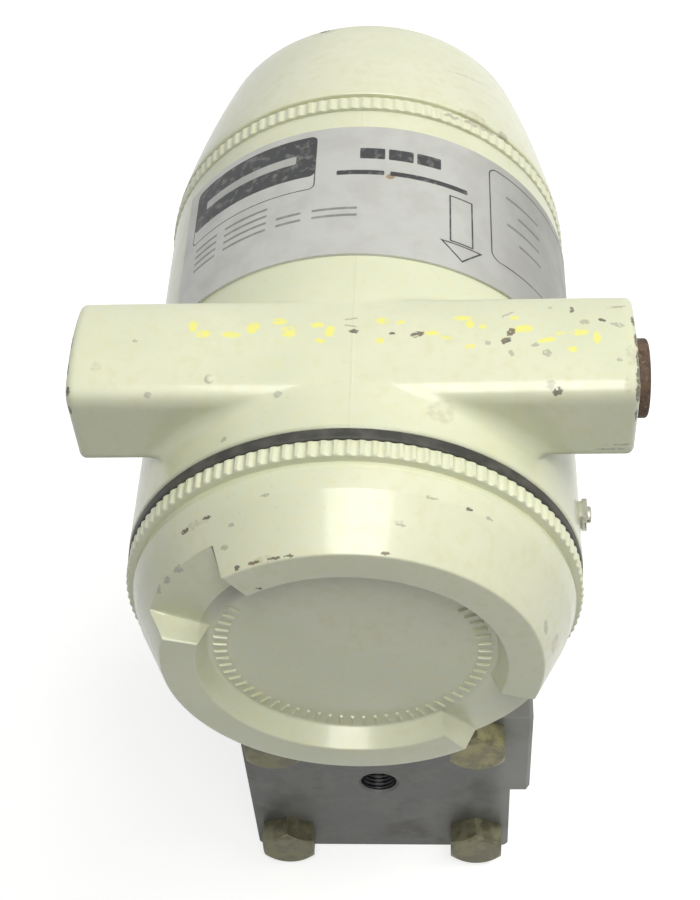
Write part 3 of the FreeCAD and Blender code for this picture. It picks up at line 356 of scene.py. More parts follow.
head_finish, tree, shader, place = new_finish("dull_head_steel")
eased = eased_normal(tree, HEAD_EASE)
mottle = clouds(tree, place, 9, 5.0)
colour = mix(tree, grade(tree, mottle, 0.36, 0.64), HEAD_GREY, HEAD_PALE)
stain = grade(tree, clouds(tree, place, 17, 5.0), 0.52, 0.70)
colour = laid_over(tree, colour, stain, HEAD_STAIN_SHARE, HEAD_STAIN)
sideways = add(tree, "SeparateXYZ", {0: place}).outputs["X"]
# Painted light: towards the pad on the right the steel is painted paler, as if better lit.
colour = laid_over(tree, colour, grade(tree, sideways, PAD_LIGHT_FROM, PAD_LIGHT_FULL), PAD_LIGHT_SHARE, HEAD_PAD_LIT)
colour = laid_over(tree, colour, edge_share(tree, eased), HEAD_EDGE_SHARE, HEAD_EDGE_BRIGHT)
grain = relief(tree, clouds(tree, place, 0.5, 2.0, HEAD_GRAIN_RUN), HEAD_GRAIN_DEPTH, eased)
pitted = relief(tree, clouds(tree, place, 1.6, 4.0), HEAD_PITTING_DEPTH, grain)
wire(tree, shader, colour, dulling(tree, mottle, HEAD_ROUGHNESS), pitted)
shader.inputs["Metallic"].default_value = HEAD_METALLIC
dress(head_finish, "front_process_head", "rear_process_head")

# Painted shade: the port threads are coloured near black for the darkness inside the bores.
port_finish, tree, shader, place = new_finish("shaded_port_thread")
colour = mix(tree, clouds(tree, place, 2.5), PORT_SHADE_BLACK, PORT_SHADE_GREY)
wire(tree, shader, colour, dulling(tree, clouds(tree, place, 1.2), PORT_ROUGHNESS))
shader.inputs["Metallic"].default_value = PORT_METALLIC

port_bands = []
for node, side in (("front_process_head", -1), ("rear_process_head", 1)):
    low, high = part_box(node)
    vent = Vector((0, (low.y if side < 0 else high.y) / MM, VENT_HEIGHT))
    process = Vector((high.x / MM, side * PROCESS_PORT_SPACING / 2, PROCESS_PORT_HEIGHT))
    for mouth, inwards in ((vent, Vector((0, -side, 0))), (process, Vector((-1, 0, 0)))):
        start = mouth + inwards * PORT_CHAMFER
        port_bands.append(bore_thread(start, inwards, PORT_RADIUS, PORT_THREAD_DEPTH, PORT_PITCH,
                                      PORT_THREAD_LENGTH))
loft("port_threads", port_bands, port_finish, "meter_body")

# Gaskets: white moulded rings, one pressed into the inner face of each head.
# They are hidden while the heads are bolted up.
GASKET_WHITE = (0.80, 0.80, 0.77, 1.0)
GASKET_AGED = (0.70, 0.69, 0.63, 1.0)
GASKET_ROUGHNESS = (0.45, 0.6)

gasket_finish, tree, shader, place = new_finish("white_moulded_ring")
colour = mix(tree, clouds(tree, place, 4), GASKET_WHITE, GASKET_AGED)
wire(tree, shader, colour, dulling(tree, clouds(tree, place, 1.5), GASKET_ROUGHNESS))
dress(gasket_finish, "front_head_gasket", "rear_head_gasket")

# Sensor body: turned stainless steel, one piece from the round cell to the stub in the housing's socket,
# with a thin diaphragm welded on each face of the cell and a sealed header with pins in the stub's end.
STEEL_LIGHT = (0.56, 0.56, 0.54, 1.0)
STEEL_DULL = (0.40, 0.40, 0.385, 1.0)
STEEL_ROUGHNESS = (0.32, 0.42)
STEEL_MARK_DEPTH = 0.02
STEEL_EASE = 0.3
TURNED_MARKS = (9, 9, 0.5)


def bright_steel(name, marks_run):
    """Stainless steel with fine tool marks that run one way."""
    finish, tree, shader, place = new_finish(name)
    dulled = clouds(tree, place, 7, 4.0)
    colour = mix(tree, grade(tree, dulled, 0.35, 0.65), STEEL_LIGHT, STEEL_DULL)
    marks = clouds(tree, place, 0.4, 2.0, marks_run)
    marked = relief(tree, marks, STEEL_MARK_DEPTH, eased_normal(tree, STEEL_EASE))
    wire(tree, shader, colour, dulling(tree, dulled, STEEL_ROUGHNESS), marked)
    shader.inputs["Metallic"].default_value = 1.0
    return finish


dress(bright_steel("turned_steel", TURNED_MARKS), "sensor_body", "sensor_header", "front_diaphragm",
      "rear_diaphragm")

# Neck ring: a black rubber ring of round section in the groove of the sensor body's stub.
# It keeps the wet out of the housing.
RUBBER_BLACK = (0.030, 0.030, 0.027, 1.0)
RUBBER_GREY = (0.080, 0.078, 0.068, 1.0)
RUBBER_ROUGHNESS = (0.55, 0.75)
RUBBER_GRAIN_DEPTH = 0.05

rubber_finish, tree, shader, place = new_finish("aged_black_rubber")
bloom = clouds(tree, place, 6, 5.0)
colour = mix(tree, grade(tree, bloom, 0.38, 0.66), RUBBER_BLACK, RUBBER_GREY)
grained = relief(tree, clouds(tree, place, 0.5, 3.0), RUBBER_GRAIN_DEPTH)
wire(tree, shader, colour, dulling(tree, bloom, RUBBER_ROUGHNESS), grained)
dress(rubber_finish, "neck_seal_ring")

# Head bolts and nuts: hexagon bolts through both heads, their heads in front and nuts behind.
# The yellow zinc has gone to a dull olive brown with dark grime, and is brightest on the upper right bolt.
ZINC_OLIVE = (0.215, 0.208, 0.128, 1.0)
ZINC_BROWN = (0.128, 0.118, 0.072, 1.0)
ZINC_YELLOW = (0.34, 0.32, 0.15, 1.0)
ZINC_GREY = (0.30, 0.29, 0.23, 1.0)
BRIGHT_REACH = 16
BRIGHT_FULL = 9
BRIGHT_SHARE = 0.7
BOLT_EASE = 0.5
BOLT_METALLIC = 0.5
BOLT_ROUGHNESS = (0.40, 0.62)
BOLT_PITTING_DEPTH = 0.08
BOLT_X = 32.6
BOLT_HEIGHTS = (10.3, 75.5)
BRIGHT_BOLT_AT = (BOLT_X, -53.0, BOLT_HEIGHTS[1])
BOLT_RADIUS = 5.56
BOLT_PITCH = 1.27
BOLT_THREAD_DEPTH = 0.35
BOLT_PLAIN_TIP = 0.3
BOLT_BACKING = 0.4

bolt_finish, tree, shader, place = new_finish("dulled_yellow_zinc")
eased = eased_normal(tree, BOLT_EASE)
blotch = clouds(tree, place, 5.0, 4.0)
colour = mix(tree, grade(tree, blotch, 0.36, 0.62), ZINC_BROWN, ZINC_OLIVE)
rubbed = maths(tree, "MULTIPLY", edge_share(tree, eased), grade(tree, clouds(tree, place, 2.0), 0.40, 0.60))
colour = mix(tree, rubbed, colour, ZINC_GREY)
away = add(tree, "VectorMath", {0: place, 1: BRIGHT_BOLT_AT}, operation="DISTANCE").outputs["Value"]
kept = maths(tree, "MULTIPLY", grade(tree, away, BRIGHT_REACH, BRIGHT_FULL),
             grade(tree, clouds(tree, place, 4.0, 5.0), 0.34, 0.68))
colour = laid_over(tree, colour, kept, BRIGHT_SHARE, ZINC_YELLOW)
pitted = relief(tree, clouds(tree, place, 0.8, 4.0), BOLT_PITTING_DEPTH, eased)
wire(tree, shader, colour, dulling(tree, blotch, BOLT_ROUGHNESS), pitted)
shader.inputs["Metallic"].default_value = BOLT_METALLIC
dress(bolt_finish, "head_bolts", "head_nuts")

bolt_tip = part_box("head_bolts")[1].y / MM
nut_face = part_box("head_nuts")[1].y / MM
tip_bands = []
for x in (-BOLT_X, BOLT_X):
    for z in BOLT_HEIGHTS:
        start = Vector((x, nut_face, z))
        tip_bands.append(thread_rows(start, Vector((0, 1, 0)), BOLT_RADIUS, BOLT_THREAD_DEPTH, BOLT_PITCH,
                                     bolt_tip - nut_face - BOLT_PLAIN_TIP, BOLT_RADIUS - BOLT_BACKING))
loft("bolt_tip_threads", tip_bands, bolt_finish, "meter_body")

# Electronics housing: one aluminium casting, barrel, crossbar and neck socket together, sprayed cream.
# The gloss is aged, with chips down to dark metal, brown rubs and worn yellow marker on the crossbar.
# Both ends are bored and threaded for the covers, and the left hub for a conduit.
CREAM = (0.725, 0.738, 0.560, 1.0)
CREAM_AGED = (0.690, 0.692, 0.485, 1.0)
CREAM_GREENISH = (0.665, 0.695, 0.520, 1.0)
CHIP_DARK = (0.055, 0.048, 0.040, 1.0)
CHIP_RUST = (0.130, 0.080, 0.048, 1.0)
RUB_BROWN = (0.36, 0.30, 0.19, 1.0)
# Grey of the smudges, also used for the painted shade under the front cover's ring.
SMUDGE_AND_SHADE_GREY = (0.22, 0.21, 0.18, 1.0)
MARKER_YELLOW = (0.86, 0.82, 0.17, 1.0)
SPECK_SHARE = 0.16
MARKER_SHARE = 0.85
RUB_SHARE = 0.32
# Painted shade under the front cover's ring: its share, how far into the dish it reaches, and the heights
# above the axis where it begins and where it is full.
RING_SHADE_SHARE = 0.75
RING_SHADE_REACH = 3.5
RING_SHADE_FROM = 6
RING_SHADE_FULL = 28
SMUDGE_SHARE = 0.48
CHIP_SHARE = 0.85
CHIP_DEPTH = 0.05
PAINT_ROUGHNESS = (0.32, 0.38)
PAINT_WORN_ROUGHER = 0.3
PAINT_COAT = 0.4
PAINT_COAT_ROUGHNESS = 0.11
PAINT_WAVE_DEPTH = 0.07
PAINT_SKIN_DEPTH = 0.018
SEAM_X = 1.6
SEAM_WIDTH = 0.5
SEAM_HEIGHT = 0.05
DRIP_AT = (-32.5, -55.7, 249.8)
DRIP_RADIUS = 1.5
DRIP_HEIGHT = 0.5
ALUMINIUM_PALE = (0.50, 0.50, 0.49, 1.0)
ALUMINIUM_DULL = (0.36, 0.36, 0.35, 1.0)
ALUMINIUM_METALLIC = 0.9
ALUMINIUM_ROUGHNESS = (0.40, 0.54)
BAR_TOP = 251.5
BAR_SOFTNESS = 2.5
AXIS_Z = 191.0
BORE_RADIUS = 52.3
BORE_THREAD_DEPTH = 0.5
COVER_PITCH = 2.0
FRONT_BORE_MOUTH = -70.4
REAR_BORE_MOUTH = 41.4
BORE_THREAD_LENGTH = 11.0
CONDUIT_MOUTH = (-67.7, -43.45, 235.2)
CONDUIT_CHAMFER = 1.0
CONDUIT_RADIUS = 9.7
CONDUIT_PITCH = 1.5
CONDUIT_THREAD_DEPTH = 0.7
CONDUIT_THREAD_LENGTH = 18.0


def spots(tree, place, rows, ragged, size):
    """1 inside any of a list of ellipsoids, whose outlines are broken up by noise.

    Each row is a middle, three half lengths and a turn about the vertical in degrees.
    """
    wobble = add(tree, "TexNoise", {"Vector": place, "Scale": 1 / size, "Detail": 2.0}).outputs["Color"]
    centred = add(tree, "VectorMath", {0: wobble, 1: (0.5, 0.5, 0.5)}, operation="SUBTRACT").outputs["Vector"]
    push = add(tree, "VectorMath", {0: centred, "Scale": ragged}, operation="SCALE").outputs["Vector"]
    moved = add(tree, "VectorMath", {0: place, 1: push}, operation="ADD").outputs["Vector"]
    nearest = 9.0
    for middle, halves, turn in rows:
        angle = (0.0, 0.0, math.radians(turn))
        values = {"Vector": moved, "Location": middle, "Rotation": angle, "Scale": halves}
        local = add(tree, "Mapping", values, vector_type="TEXTURE").outputs["Vector"]
        reach = add(tree, "VectorMath", {0: local}, operation="LENGTH").outputs["Value"]
        nearest = maths(tree, "MINIMUM", nearest, reach)
    return grade(tree, nearest, 1.15, 0.80)


def cream_paint(name, chips, rubs, smudges=(), dabs=(), seam=None, drip=None, ring_shade=None, soft_edges=0.0):
    """Aged cream gloss with chips, brown rubs, grey smudges, marker dabs, a casting seam and a drip.

    Each is at given places. Ring shade is the two radii of a ring's inner wall, given painted shade above the
    axis.
    """
    finish, tree, shader, place = new_finish(name)
    ageing = clouds(tree, place, 42, 2.0)
    mottle = clouds(tree, place, 3.2, 4.0)
    colour = mix(tree, grade(tree, ageing, 0.38, 0.66), CREAM, CREAM_GREENISH)
    colour = mix(tree, grade(tree, mottle, 0.42, 0.74), colour, CREAM_AGED)
    specks = maths(tree, "MULTIPLY", grade(tree, clouds(tree, place, 1.3, 2.0), 0.60, 0.80),
                   grade(tree, ageing, 0.46, 0.60))
    colour = laid_over(tree, colour, specks, SPECK_SHARE, RUB_BROWN)
    broken = clouds(tree, place, 1.5, 3.0)
    if dabs:
        worn = maths(tree, "MULTIPLY", spots(tree, place, dabs, 1.3, 1.8), grade(tree, broken, 0.32, 0.46))
        colour = laid_over(tree, colour, worn, MARKER_SHARE, MARKER_YELLOW)
    rubbed = maths(tree, "MULTIPLY", spots(tree, place, rubs, 2.0, 2.5), grade(tree, broken, 0.28, 0.68))
    colour = laid_over(tree, colour, rubbed, RUB_SHARE, RUB_BROWN)
    # Painted shade: the ring's inner wall and the dish beside it are darkened above the axis, where the
    # ring's top shades them.
    if ring_shade is not None:
        parts = add(tree, "SeparateXYZ", {0: place}).outputs
        upwards = maths(tree, "SUBTRACT", parts["Z"], AXIS_Z)
        off_axis = add(tree, "CombineXYZ", {0: parts["X"], 1: upwards}).outputs[0]
        radius = add(tree, "VectorMath", {0: off_axis}, operation="LENGTH").outputs["Value"]
        under_ring_shade = maths(tree, "MULTIPLY", grade(tree, radius, ring_shade[0] - RING_SHADE_REACH, ring_shade[0]),
                           grade(tree, radius, ring_shade[1] + 0.3, ring_shade[1] - 0.1))
        under_ring_shade = maths(tree, "MULTIPLY", under_ring_shade, grade(tree, upwards, RING_SHADE_FROM, RING_SHADE_FULL))
        colour = laid_over(tree, colour, under_ring_shade, RING_SHADE_SHARE, SMUDGE_AND_SHADE_GREY)
    if smudges:
        soiled = maths(tree, "MULTIPLY", spots(tree, place, smudges, 1.1, 0.8),
                       grade(tree, broken, 0.26, 0.46))
        colour = laid_over(tree, colour, soiled, SMUDGE_SHARE, SMUDGE_AND_SHADE_GREY)
    chipped = maths(tree, "MULTIPLY", spots(tree, place, chips, 1.2, 0.8), grade(tree, broken, 0.30, 0.40))
    bare = mix(tree, grade(tree, clouds(tree, place, 0.9), 0.42, 0.60), CHIP_DARK, CHIP_RUST)
    colour = laid_over(tree, colour, chipped, CHIP_SHARE, bare)
    rougher = maths(tree, "MULTIPLY", maths(tree, "MAXIMUM", chipped, rubbed), PAINT_WORN_ROUGHER)
    roughness = maths(tree, "ADD", dulling(tree, mottle, PAINT_ROUGHNESS), rougher)
    eased = eased_normal(tree, soft_edges) if soft_edges else None
    cast = relief(tree, clouds(tree, place, 8, 2.0), PAINT_WAVE_DEPTH, eased)
    skin = relief(tree, clouds(tree, place, 1.1, 2.0), PAINT_SKIN_DEPTH, cast)
    if seam is not None:
        sideways = add(tree, "SeparateXYZ", {0: place}).outputs["X"]
        off = maths(tree, "ABSOLUTE", maths(tree, "SUBTRACT", sideways, seam))
        skin = relief(tree, grade(tree, off, SEAM_WIDTH, 0.1), SEAM_HEIGHT, skin)
    if drip is not None:
        away = add(tree, "VectorMath", {0: place, 1: drip}, operation="DISTANCE").outputs["Value"]
        skin = relief(tree, grade(tree, away, DRIP_RADIUS, 0.3 * DRIP_RADIUS), DRIP_HEIGHT, skin)
    unchipped = maths(tree, "SUBTRACT", 1.0, chipped)
    wire(tree, shader, colour, roughness, relief(tree, unchipped, CHIP_DEPTH, skin))
    shader.inputs["Coat Weight"].default_value = PAINT_COAT
    shader.inputs["Coat Roughness"].default_value = PAINT_COAT_ROUGHNESS
    return finish


bar_chips = [
    ((1.7, -42.1, BAR_TOP), (1.2, 0.7, 2), 0),
    ((11.1, -43.0, BAR_TOP), (0.8, 0.4, 2), 0),
    ((17.2, -43.5, BAR_TOP), (1.8, 0.9, 2), 15),
    ((38.4, -45.8, BAR_TOP), (1.3, 0.9, 2), 40),
    ((39.6, -43.0, BAR_TOP), (1.5, 0.9, 2), 55),
    ((61.7, -39.2, BAR_TOP), (0.9, 0.5, 2), -20),
    ((54.6, -35.0, 250.7), (0.5, 1.4, 2), 0),
    ((50.2, -59.0, 247.6), (1.3, 0.9, 1.1), 25),
    ((69.1, -39.2, 250.9), (0.5, 1.8, 1.0), 0),
    ((69.6, -45.5, 250.8), (0.7, 2.4, 1.2), 0),
    ((69.7, -51.0, 250.0), (0.7, 2.8, 1.2), 0),
    ((69.6, -55.6, 248.9), (0.9, 2.6, 1.5), 0),
    ((69.4, -58.8, 246.5), (0.9, 1.6, 2.6), 0),
    ((69.4, -60.0, 240.0), (0.6, 0.8, 2.6), 0),
    ((-67.6, -44.0, 250.6), (0.5, 2.6, 1.0), 0),
    ((-67.5, -52.1, 249.5), (0.5, 2.0, 1.1), 0),
    ((-66.9, -57.9, 248.2), (0.5, 1.2, 1.2), 0),
    ((-66.9, -59.9, 243.7), (0.5, 0.8, 1.6), 0),
]
bar_smudges = [
    ((0.9, -37.5, 251.2), (1.7, 0.35, 2), 10),
    ((1.0, -40.2, BAR_TOP), (1.6, 0.35, 2), -10),
    ((39.0, -36.5, 251.0), (1.9, 0.35, 2), 35),
    ((57.4, -39.8, BAR_TOP), (1.2, 1.0, 2), 0),
    ((65.3, -40.9, BAR_TOP), (1.7, 0.8, 2), -15),
    ((65.5, -33.9, 250.5), (2.4, 0.5, 2), 10),
    ((48.1, -49.7, 251.1), (1.1, 1.1, 2), 0),
    ((45.3, -47.3, 251.4), (1.0, 0.6, 2), 0),
    ((39.5, -49.6, 251.1), (0.7, 0.9, 2), 0),
    ((34.0, -46.4, BAR_TOP), (0.7, 0.6, 2), 0),
    ((49.5, -33.7, 250.4), (0.6, 0.6, 2), 0),
    ((65.1, -51.8, 250.7), (0.7, 0.6, 2), 0),
    ((48.6, -57.8, 248.8), (1.2, 1.0, 1.2), 25),
    ((-47.4, -58.9, 247.8), (1.0, 0.8, 0.9), 0),
    ((-51.6, -44.5, BAR_TOP), (0.7, 0.6, 2), 0),
    ((-16.1, -59.2, 247.8), (1.0, 0.8, 1.2), 0),
    ((-28.9, -68.2, 242.0), (0.8, 0.8, 1.2), 0),
    ((64.0, -60.2, 228.0), (4.0, 0.6, 0.35), 0),
    ((66.6, -60.2, 229.6), (2.6, 0.6, 0.3), 0),
]
bar_rubs = [
    ((22.5, -63.0, 245.1), (4.2, 3.0, 2.5), 20),
    ((66.8, -57.0, 247.6), (1.6, 2.4, 2.4), 0),
    ((67.8, -50.0, 250.6), (1.0, 4.0, 1.6), 0),
    ((-60.5, -52.0, 250.4), (1.6, 1.4, 1.6), 0),
]
marker_dabs = [
    ((-37.7, -39.6, BAR_TOP), (1.0, 2.3, 3), 12),
    ((-35.2, -42.4, BAR_TOP), (2.0, 1.3, 3), 0),
    ((-28.0, -42.8, BAR_TOP), (2.4, 0.9, 3), -8),
    ((-23.0, -40.4, BAR_TOP), (1.5, 2.3, 3), -15),
    ((-16.6, -38.2, BAR_TOP), (1.9, 1.2, 3), 0),
    ((-14.2, -42.0, BAR_TOP), (1.9, 2.1, 3), 20),
    ((-7.2, -39.6, BAR_TOP), (1.8, 0.9, 3), 0),
    ((-4.2, -42.0, BAR_TOP), (1.2, 2.0, 3), -10),
    ((-6.4, -45.2, BAR_TOP), (1.3, 0.8, 3), 0),
    ((8.8, -38.4, BAR_TOP), (1.9, 1.2, 3), -10),
    ((8.1, -45.2, BAR_TOP), (1.1, 1.0, 3), 0),
    ((13.1, -39.0, BAR_TOP), (1.1, 0.6, 3), 0),
    ((20.8, -43.1, BAR_TOP), (2.0, 0.9, 3), -10),
    ((24.2, -44.6, BAR_TOP), (1.2, 0.6, 3), 0),
    ((28.0, -37.7, BAR_TOP), (2.5, 0.9, 3), 0),
    ((29.8, -40.2, BAR_TOP), (1.1, 1.7, 3), 0),
    ((32.9, -41.0, BAR_TOP), (0.9, 1.0, 3), 0),
    ((29.8, -47.5, BAR_TOP), (1.3, 0.7, 3), 0),
    ((40.6, -37.8, BAR_TOP), (1.1, 0.6, 3), 0),
    ((42.6, -42.0, BAR_TOP), (2.3, 1.3, 3), 5),
    ((48.3, -45.8, BAR_TOP), (2.3, 0.7, 3), 8),
    ((51.6, -43.5, BAR_TOP), (1.2, 0.8, 3), 20),
    ((56.2, -43.4, BAR_TOP), (2.4, 1.0, 3), 0),
    ((60.2, -45.2, BAR_TOP), (0.8, 2.0, 3), 0),
    ((54.1, -48.6, BAR_TOP), (1.1, 0.8, 3), 0),
]
housing_finish = cream_paint("cream_housing_paint", bar_chips, bar_rubs, bar_smudges, marker_dabs, SEAM_X,
                             DRIP_AT, soft_edges=BAR_SOFTNESS)
dress(housing_finish, "electronics_housing")

bore_finish, tree, shader, place = new_finish("bare_cast_aluminium")
colour = mix(tree, clouds(tree, place, 3.0, 4.0), ALUMINIUM_PALE, ALUMINIUM_DULL)
wire(tree, shader, colour, dulling(tree, clouds(tree, place, 1.2), ALUMINIUM_ROUGHNESS))
shader.inputs["Metallic"].default_value = ALUMINIUM_METALLIC

bore_bands = []
for mouth_y, inwards in ((FRONT_BORE_MOUTH, 1), (REAR_BORE_MOUTH, -1)):
    bore_bands.append(bore_thread(Vector((0, mouth_y, AXIS_Z)), Vector((0, inwards, 0)), BORE_RADIUS,
                                  BORE_THREAD_DEPTH, COVER_PITCH, BORE_THREAD_LENGTH))
conduit_start = Vector(CONDUIT_MOUTH) + Vector((CONDUIT_CHAMFER, 0, 0))
bore_bands.append(bore_thread(conduit_start, Vector((1, 0, 0)), CONDUIT_RADIUS, CONDUIT_THREAD_DEPTH,
                              CONDUIT_PITCH, CONDUIT_THREAD_LENGTH))
loft("housing_bore_threads", bore_bands, bore_finish, "housing")

# Lock screw and ground terminal: small steel fittings, the screw in a boss at the neck,
# and a bent clamp held by a pan-head screw on the right of the barrel, dulled to a pale olive grey.
FITTING_PALE = (0.62, 0.62, 0.55, 1.0)
FITTING_DULL = (0.44, 0.43, 0.36, 1.0)
FITTING_METALLIC = 0.6
FITTING_ROUGHNESS = (0.40, 0.56)
FITTING_PITTING_DEPTH = 0.05
FITTING_EASE = 0.3

fitting_finish, tree, shader, place = new_finish("dulled_fitting_steel")
dulled = clouds(tree, place, 2.2, 4.0)
colour = mix(tree, grade(tree, dulled, 0.36, 0.64), FITTING_PALE, FITTING_DULL)
pitted = relief(tree, dulled, FITTING_PITTING_DEPTH, eased_normal(tree, FITTING_EASE))
wire(tree, shader, colour, dulling(tree, dulled, FITTING_ROUGHNESS), pitted)
shader.inputs["Metallic"].default_value = FITTING_METALLIC
dress(fitting_finish, "ground_clamp", "ground_screw", "lock_screw")

# Conduit plug: a turned steel pipe plug with a hexagon socket.
# It is screwed into the right hub and has gone brown with rust.
RUST_DARK = (0.050, 0.030, 0.022, 1.0)
RUST_BROWN = (0.125, 0.078, 0.052, 1.0)
RUST_PALE = (0.23, 0.17, 0.13, 1.0)
RUST_ROUGHNESS = (0.65, 0.9)
RUST_DEPTH = 0.2
PLUG_EASE = 0.4

rust_finish, tree, shader, place = new_finish("rusted_plug_iron")
scale = clouds(tree, place, 2.4, 5.0)
colour = mix(tree, grade(tree, scale, 0.36, 0.60), RUST_DARK, RUST_BROWN)
colour = mix(tree, grade(tree, clouds(tree, place, 1.1, 4.0), 0.54, 0.72), colour, RUST_PALE)
crusted = relief(tree, scale, RUST_DEPTH, eased_normal(tree, PLUG_EASE))
wire(tree, shader, colour, dulling(tree, scale, RUST_ROUGHNESS), crusted)
dress(rust_finish, "conduit_plug")

# Nameplate: rolled brushed aluminium bonded round the top of the barrel.
# Plain fields, bars and outlines are printed on it in dark grey, a little rubbed. Its right end is darkened
# with painted shade.
PLATE_GREY = (0.545, 0.55, 0.53, 1.0)
PLATE_WORN = (0.495, 0.497, 0.478, 1.0)
# Darker grey for the right end of the plate: painted shade.
PLATE_RIGHT_SHADE = (0.30, 0.30, 0.283, 1.0)
PLATE_INK = (0.032, 0.033, 0.036, 1.0)
PLATE_SPOT = (0.30, 0.19, 0.09, 1.0)
PLATE_METALLIC = 0.35
PLATE_ROUGHNESS = (0.40, 0.52)
PLATE_RADIUS = 59.35
STREAK_RUN = (26, 1, 1)
STREAK_DEPTH = 0.012
PLATE_SHADE_FROM = 26
PLATE_SHADE_FULL = 62
PLATE_SHADE_SHARE = 0.8
RUST_SPOT = ((9.5, 17.4, 250), (1.3, 1.0, 3), 30)
RUST_SPOT_SHARE = 0.8
INK_RUBBED = 0.2
FIELD_BLUR = 0.12
LINE_BLUR = 0.1
# A printed field is a middle and two half lengths, across and along the plate.
DARK_PANEL = ((-31.6, 26.8), (20.7, 8.2))
PALE_STRIPE = ((-32.0, 26.6), (15.5, 1.6))
STRIPE_SHARE = 0.8
DARK_PANEL_FRAME = ((-31.6, 24.2), (20.7, 10.8))
DARK_PANEL_CORNER = 1.8
STRIPE_CORNER = 0.6
DARK_PANEL_LINE = 0.35
SMALL_FIELDS = (
    ((4.6, 26.4), (3.4, 2.2)), ((12.4, 26.4), (3.4, 2.2)), ((20.2, 26.4), (3.4, 2.2)),
    ((1.5, 18.6), (6.4, 0.9)), ((20.5, 18.6), (11.0, 0.9)),
)
SMALL_CORNER = 0.4
# The thin bars of a row: where each starts, and its length.
ROW_BARS = ((-50, 9), (-38, 14), (-21, 7), (-11, 12))
ROW_COUNT = 4
FULL_ROWS = 2
SHORT_ROW_END = -30
ROW_FIRST = 1.6
ROW_STEP = 2.7
ROW_HALF = 0.45
ROW_SHARE = 0.6
ARROW_MIDDLE = 29.5
ARROW_STEM = ((ARROW_MIDDLE, 6.2), (3.3, 8.8))
ARROW_TIP = -9.2
ARROW_BARBS = -3.4
ARROW_SLANT = 0.7
ARROW_LINE = 0.5
SIDE_FRAME = ((64.0, 16.0), (25.0, 18.5))
SIDE_CORNER = 3.0
SIDE_LINE = 0.45
SIDE_BARS = 4
SIDE_BAR_AT = (52, 26.0)
SIDE_BAR_STEP = 5.5
SIDE_BAR_HALF = (7.0, 0.5)
SIDE_BAR_INDENT = 2.5
SIDE_BAR_SHORTER = 2.0
SIDE_BAR_SHARE = 0.55

plate_finish, tree, shader, place = new_finish("printed_plate_aluminium")
parts = add(tree, "SeparateXYZ", {0: place}).outputs
angle = maths(tree, "ARCTAN2", parts["X"], maths(tree, "SUBTRACT", parts["Z"], AXIS_Z))
across = maths(tree, "MULTIPLY", angle, PLATE_RADIUS)
along = parts["Y"]


def off_line(value, line):
    """Distance from a straight line across or along the plate."""
    return maths(tree, "ABSOLUTE", maths(tree, "SUBTRACT", value, line))


def off_field(middle, half, corner=0.0):
    """Distance on the plate from a rounded field's outline, below zero inside."""
    x = maths(tree, "SUBTRACT", off_line(across, middle[0]), half[0] - corner)
    y = maths(tree, "SUBTRACT", off_line(along, middle[1]), half[1] - corner)
    out_x = maths(tree, "POWER", maths(tree, "MAXIMUM", x, 0.0), 2.0)
    out_y = maths(tree, "POWER", maths(tree, "MAXIMUM", y, 0.0), 2.0)
    outside = maths(tree, "SQRT", maths(tree, "ADD", out_x, out_y))
    inside = maths(tree, "MINIMUM", maths(tree, "MAXIMUM", x, y), 0.0)
    return maths(tree, "SUBTRACT", maths(tree, "ADD", outside, inside), corner)


def filled(distance):
    return grade(tree, distance, FIELD_BLUR, -FIELD_BLUR)


def outlined(distance, width):
    return grade(tree, maths(tree, "ABSOLUTE", distance), width / 2 + LINE_BLUR, width / 2 - LINE_BLUR)


def thin_bar(middle, half, share):
    return maths(tree, "MULTIPLY", filled(off_field(middle, half)), share)


cut_out = maths(tree, "MULTIPLY", filled(off_field(*PALE_STRIPE, STRIPE_CORNER)), STRIPE_SHARE)
prints = [maths(tree, "SUBTRACT", filled(off_field(*DARK_PANEL, DARK_PANEL_CORNER)), cut_out),
          outlined(off_field(*DARK_PANEL_FRAME, DARK_PANEL_CORNER), DARK_PANEL_LINE)]
for middle, half in SMALL_FIELDS:
    prints.append(filled(off_field(middle, half, SMALL_CORNER)))
for row in range(ROW_COUNT):
    for start, length in ROW_BARS:
        if row < FULL_ROWS or start < SHORT_ROW_END:
            middle = (start + length / 2, ROW_FIRST + ROW_STEP * row)
            prints.append(thin_bar(middle, (length / 2, ROW_HALF), ROW_SHARE))
from_tip = maths(tree, "SUBTRACT", along, ARROW_TIP)
arrow_slope = maths(tree, "SUBTRACT", off_line(across, ARROW_MIDDLE), from_tip)
arrow_head = maths(tree, "MAXIMUM", maths(tree, "MULTIPLY", arrow_slope, ARROW_SLANT),
                   maths(tree, "SUBTRACT", along, ARROW_BARBS))
prints.append(outlined(maths(tree, "MINIMUM", off_field(*ARROW_STEM), arrow_head), ARROW_LINE))
prints.append(outlined(off_field(*SIDE_FRAME, SIDE_CORNER), SIDE_LINE))
for row in range(SIDE_BARS):
    indented = row % 2
    middle = (SIDE_BAR_AT[0] + SIDE_BAR_INDENT * indented, SIDE_BAR_AT[1] - SIDE_BAR_STEP * row)
    half = (SIDE_BAR_HALF[0] - SIDE_BAR_SHORTER * indented, SIDE_BAR_HALF[1])
    prints.append(thin_bar(middle, half, SIDE_BAR_SHARE))
ink = 0.0
for one in prints:
    ink = maths(tree, "MAXIMUM", ink, one)
rubbed_off = grade(tree, clouds(tree, place, 2.5, 5.0), 0.66, 0.50)
left_on = maths(tree, "ADD", maths(tree, "MULTIPLY", rubbed_off, INK_RUBBED), 1 - INK_RUBBED)
ink = maths(tree, "MULTIPLY", ink, left_on)
brushed = add(tree, "CombineXYZ", {0: across, 1: along, 2: 0.0}).outputs[0]
streaks = clouds(tree, brushed, 0.35, 2.0, STREAK_RUN)
tarnish = clouds(tree, place, 9, 5.0)
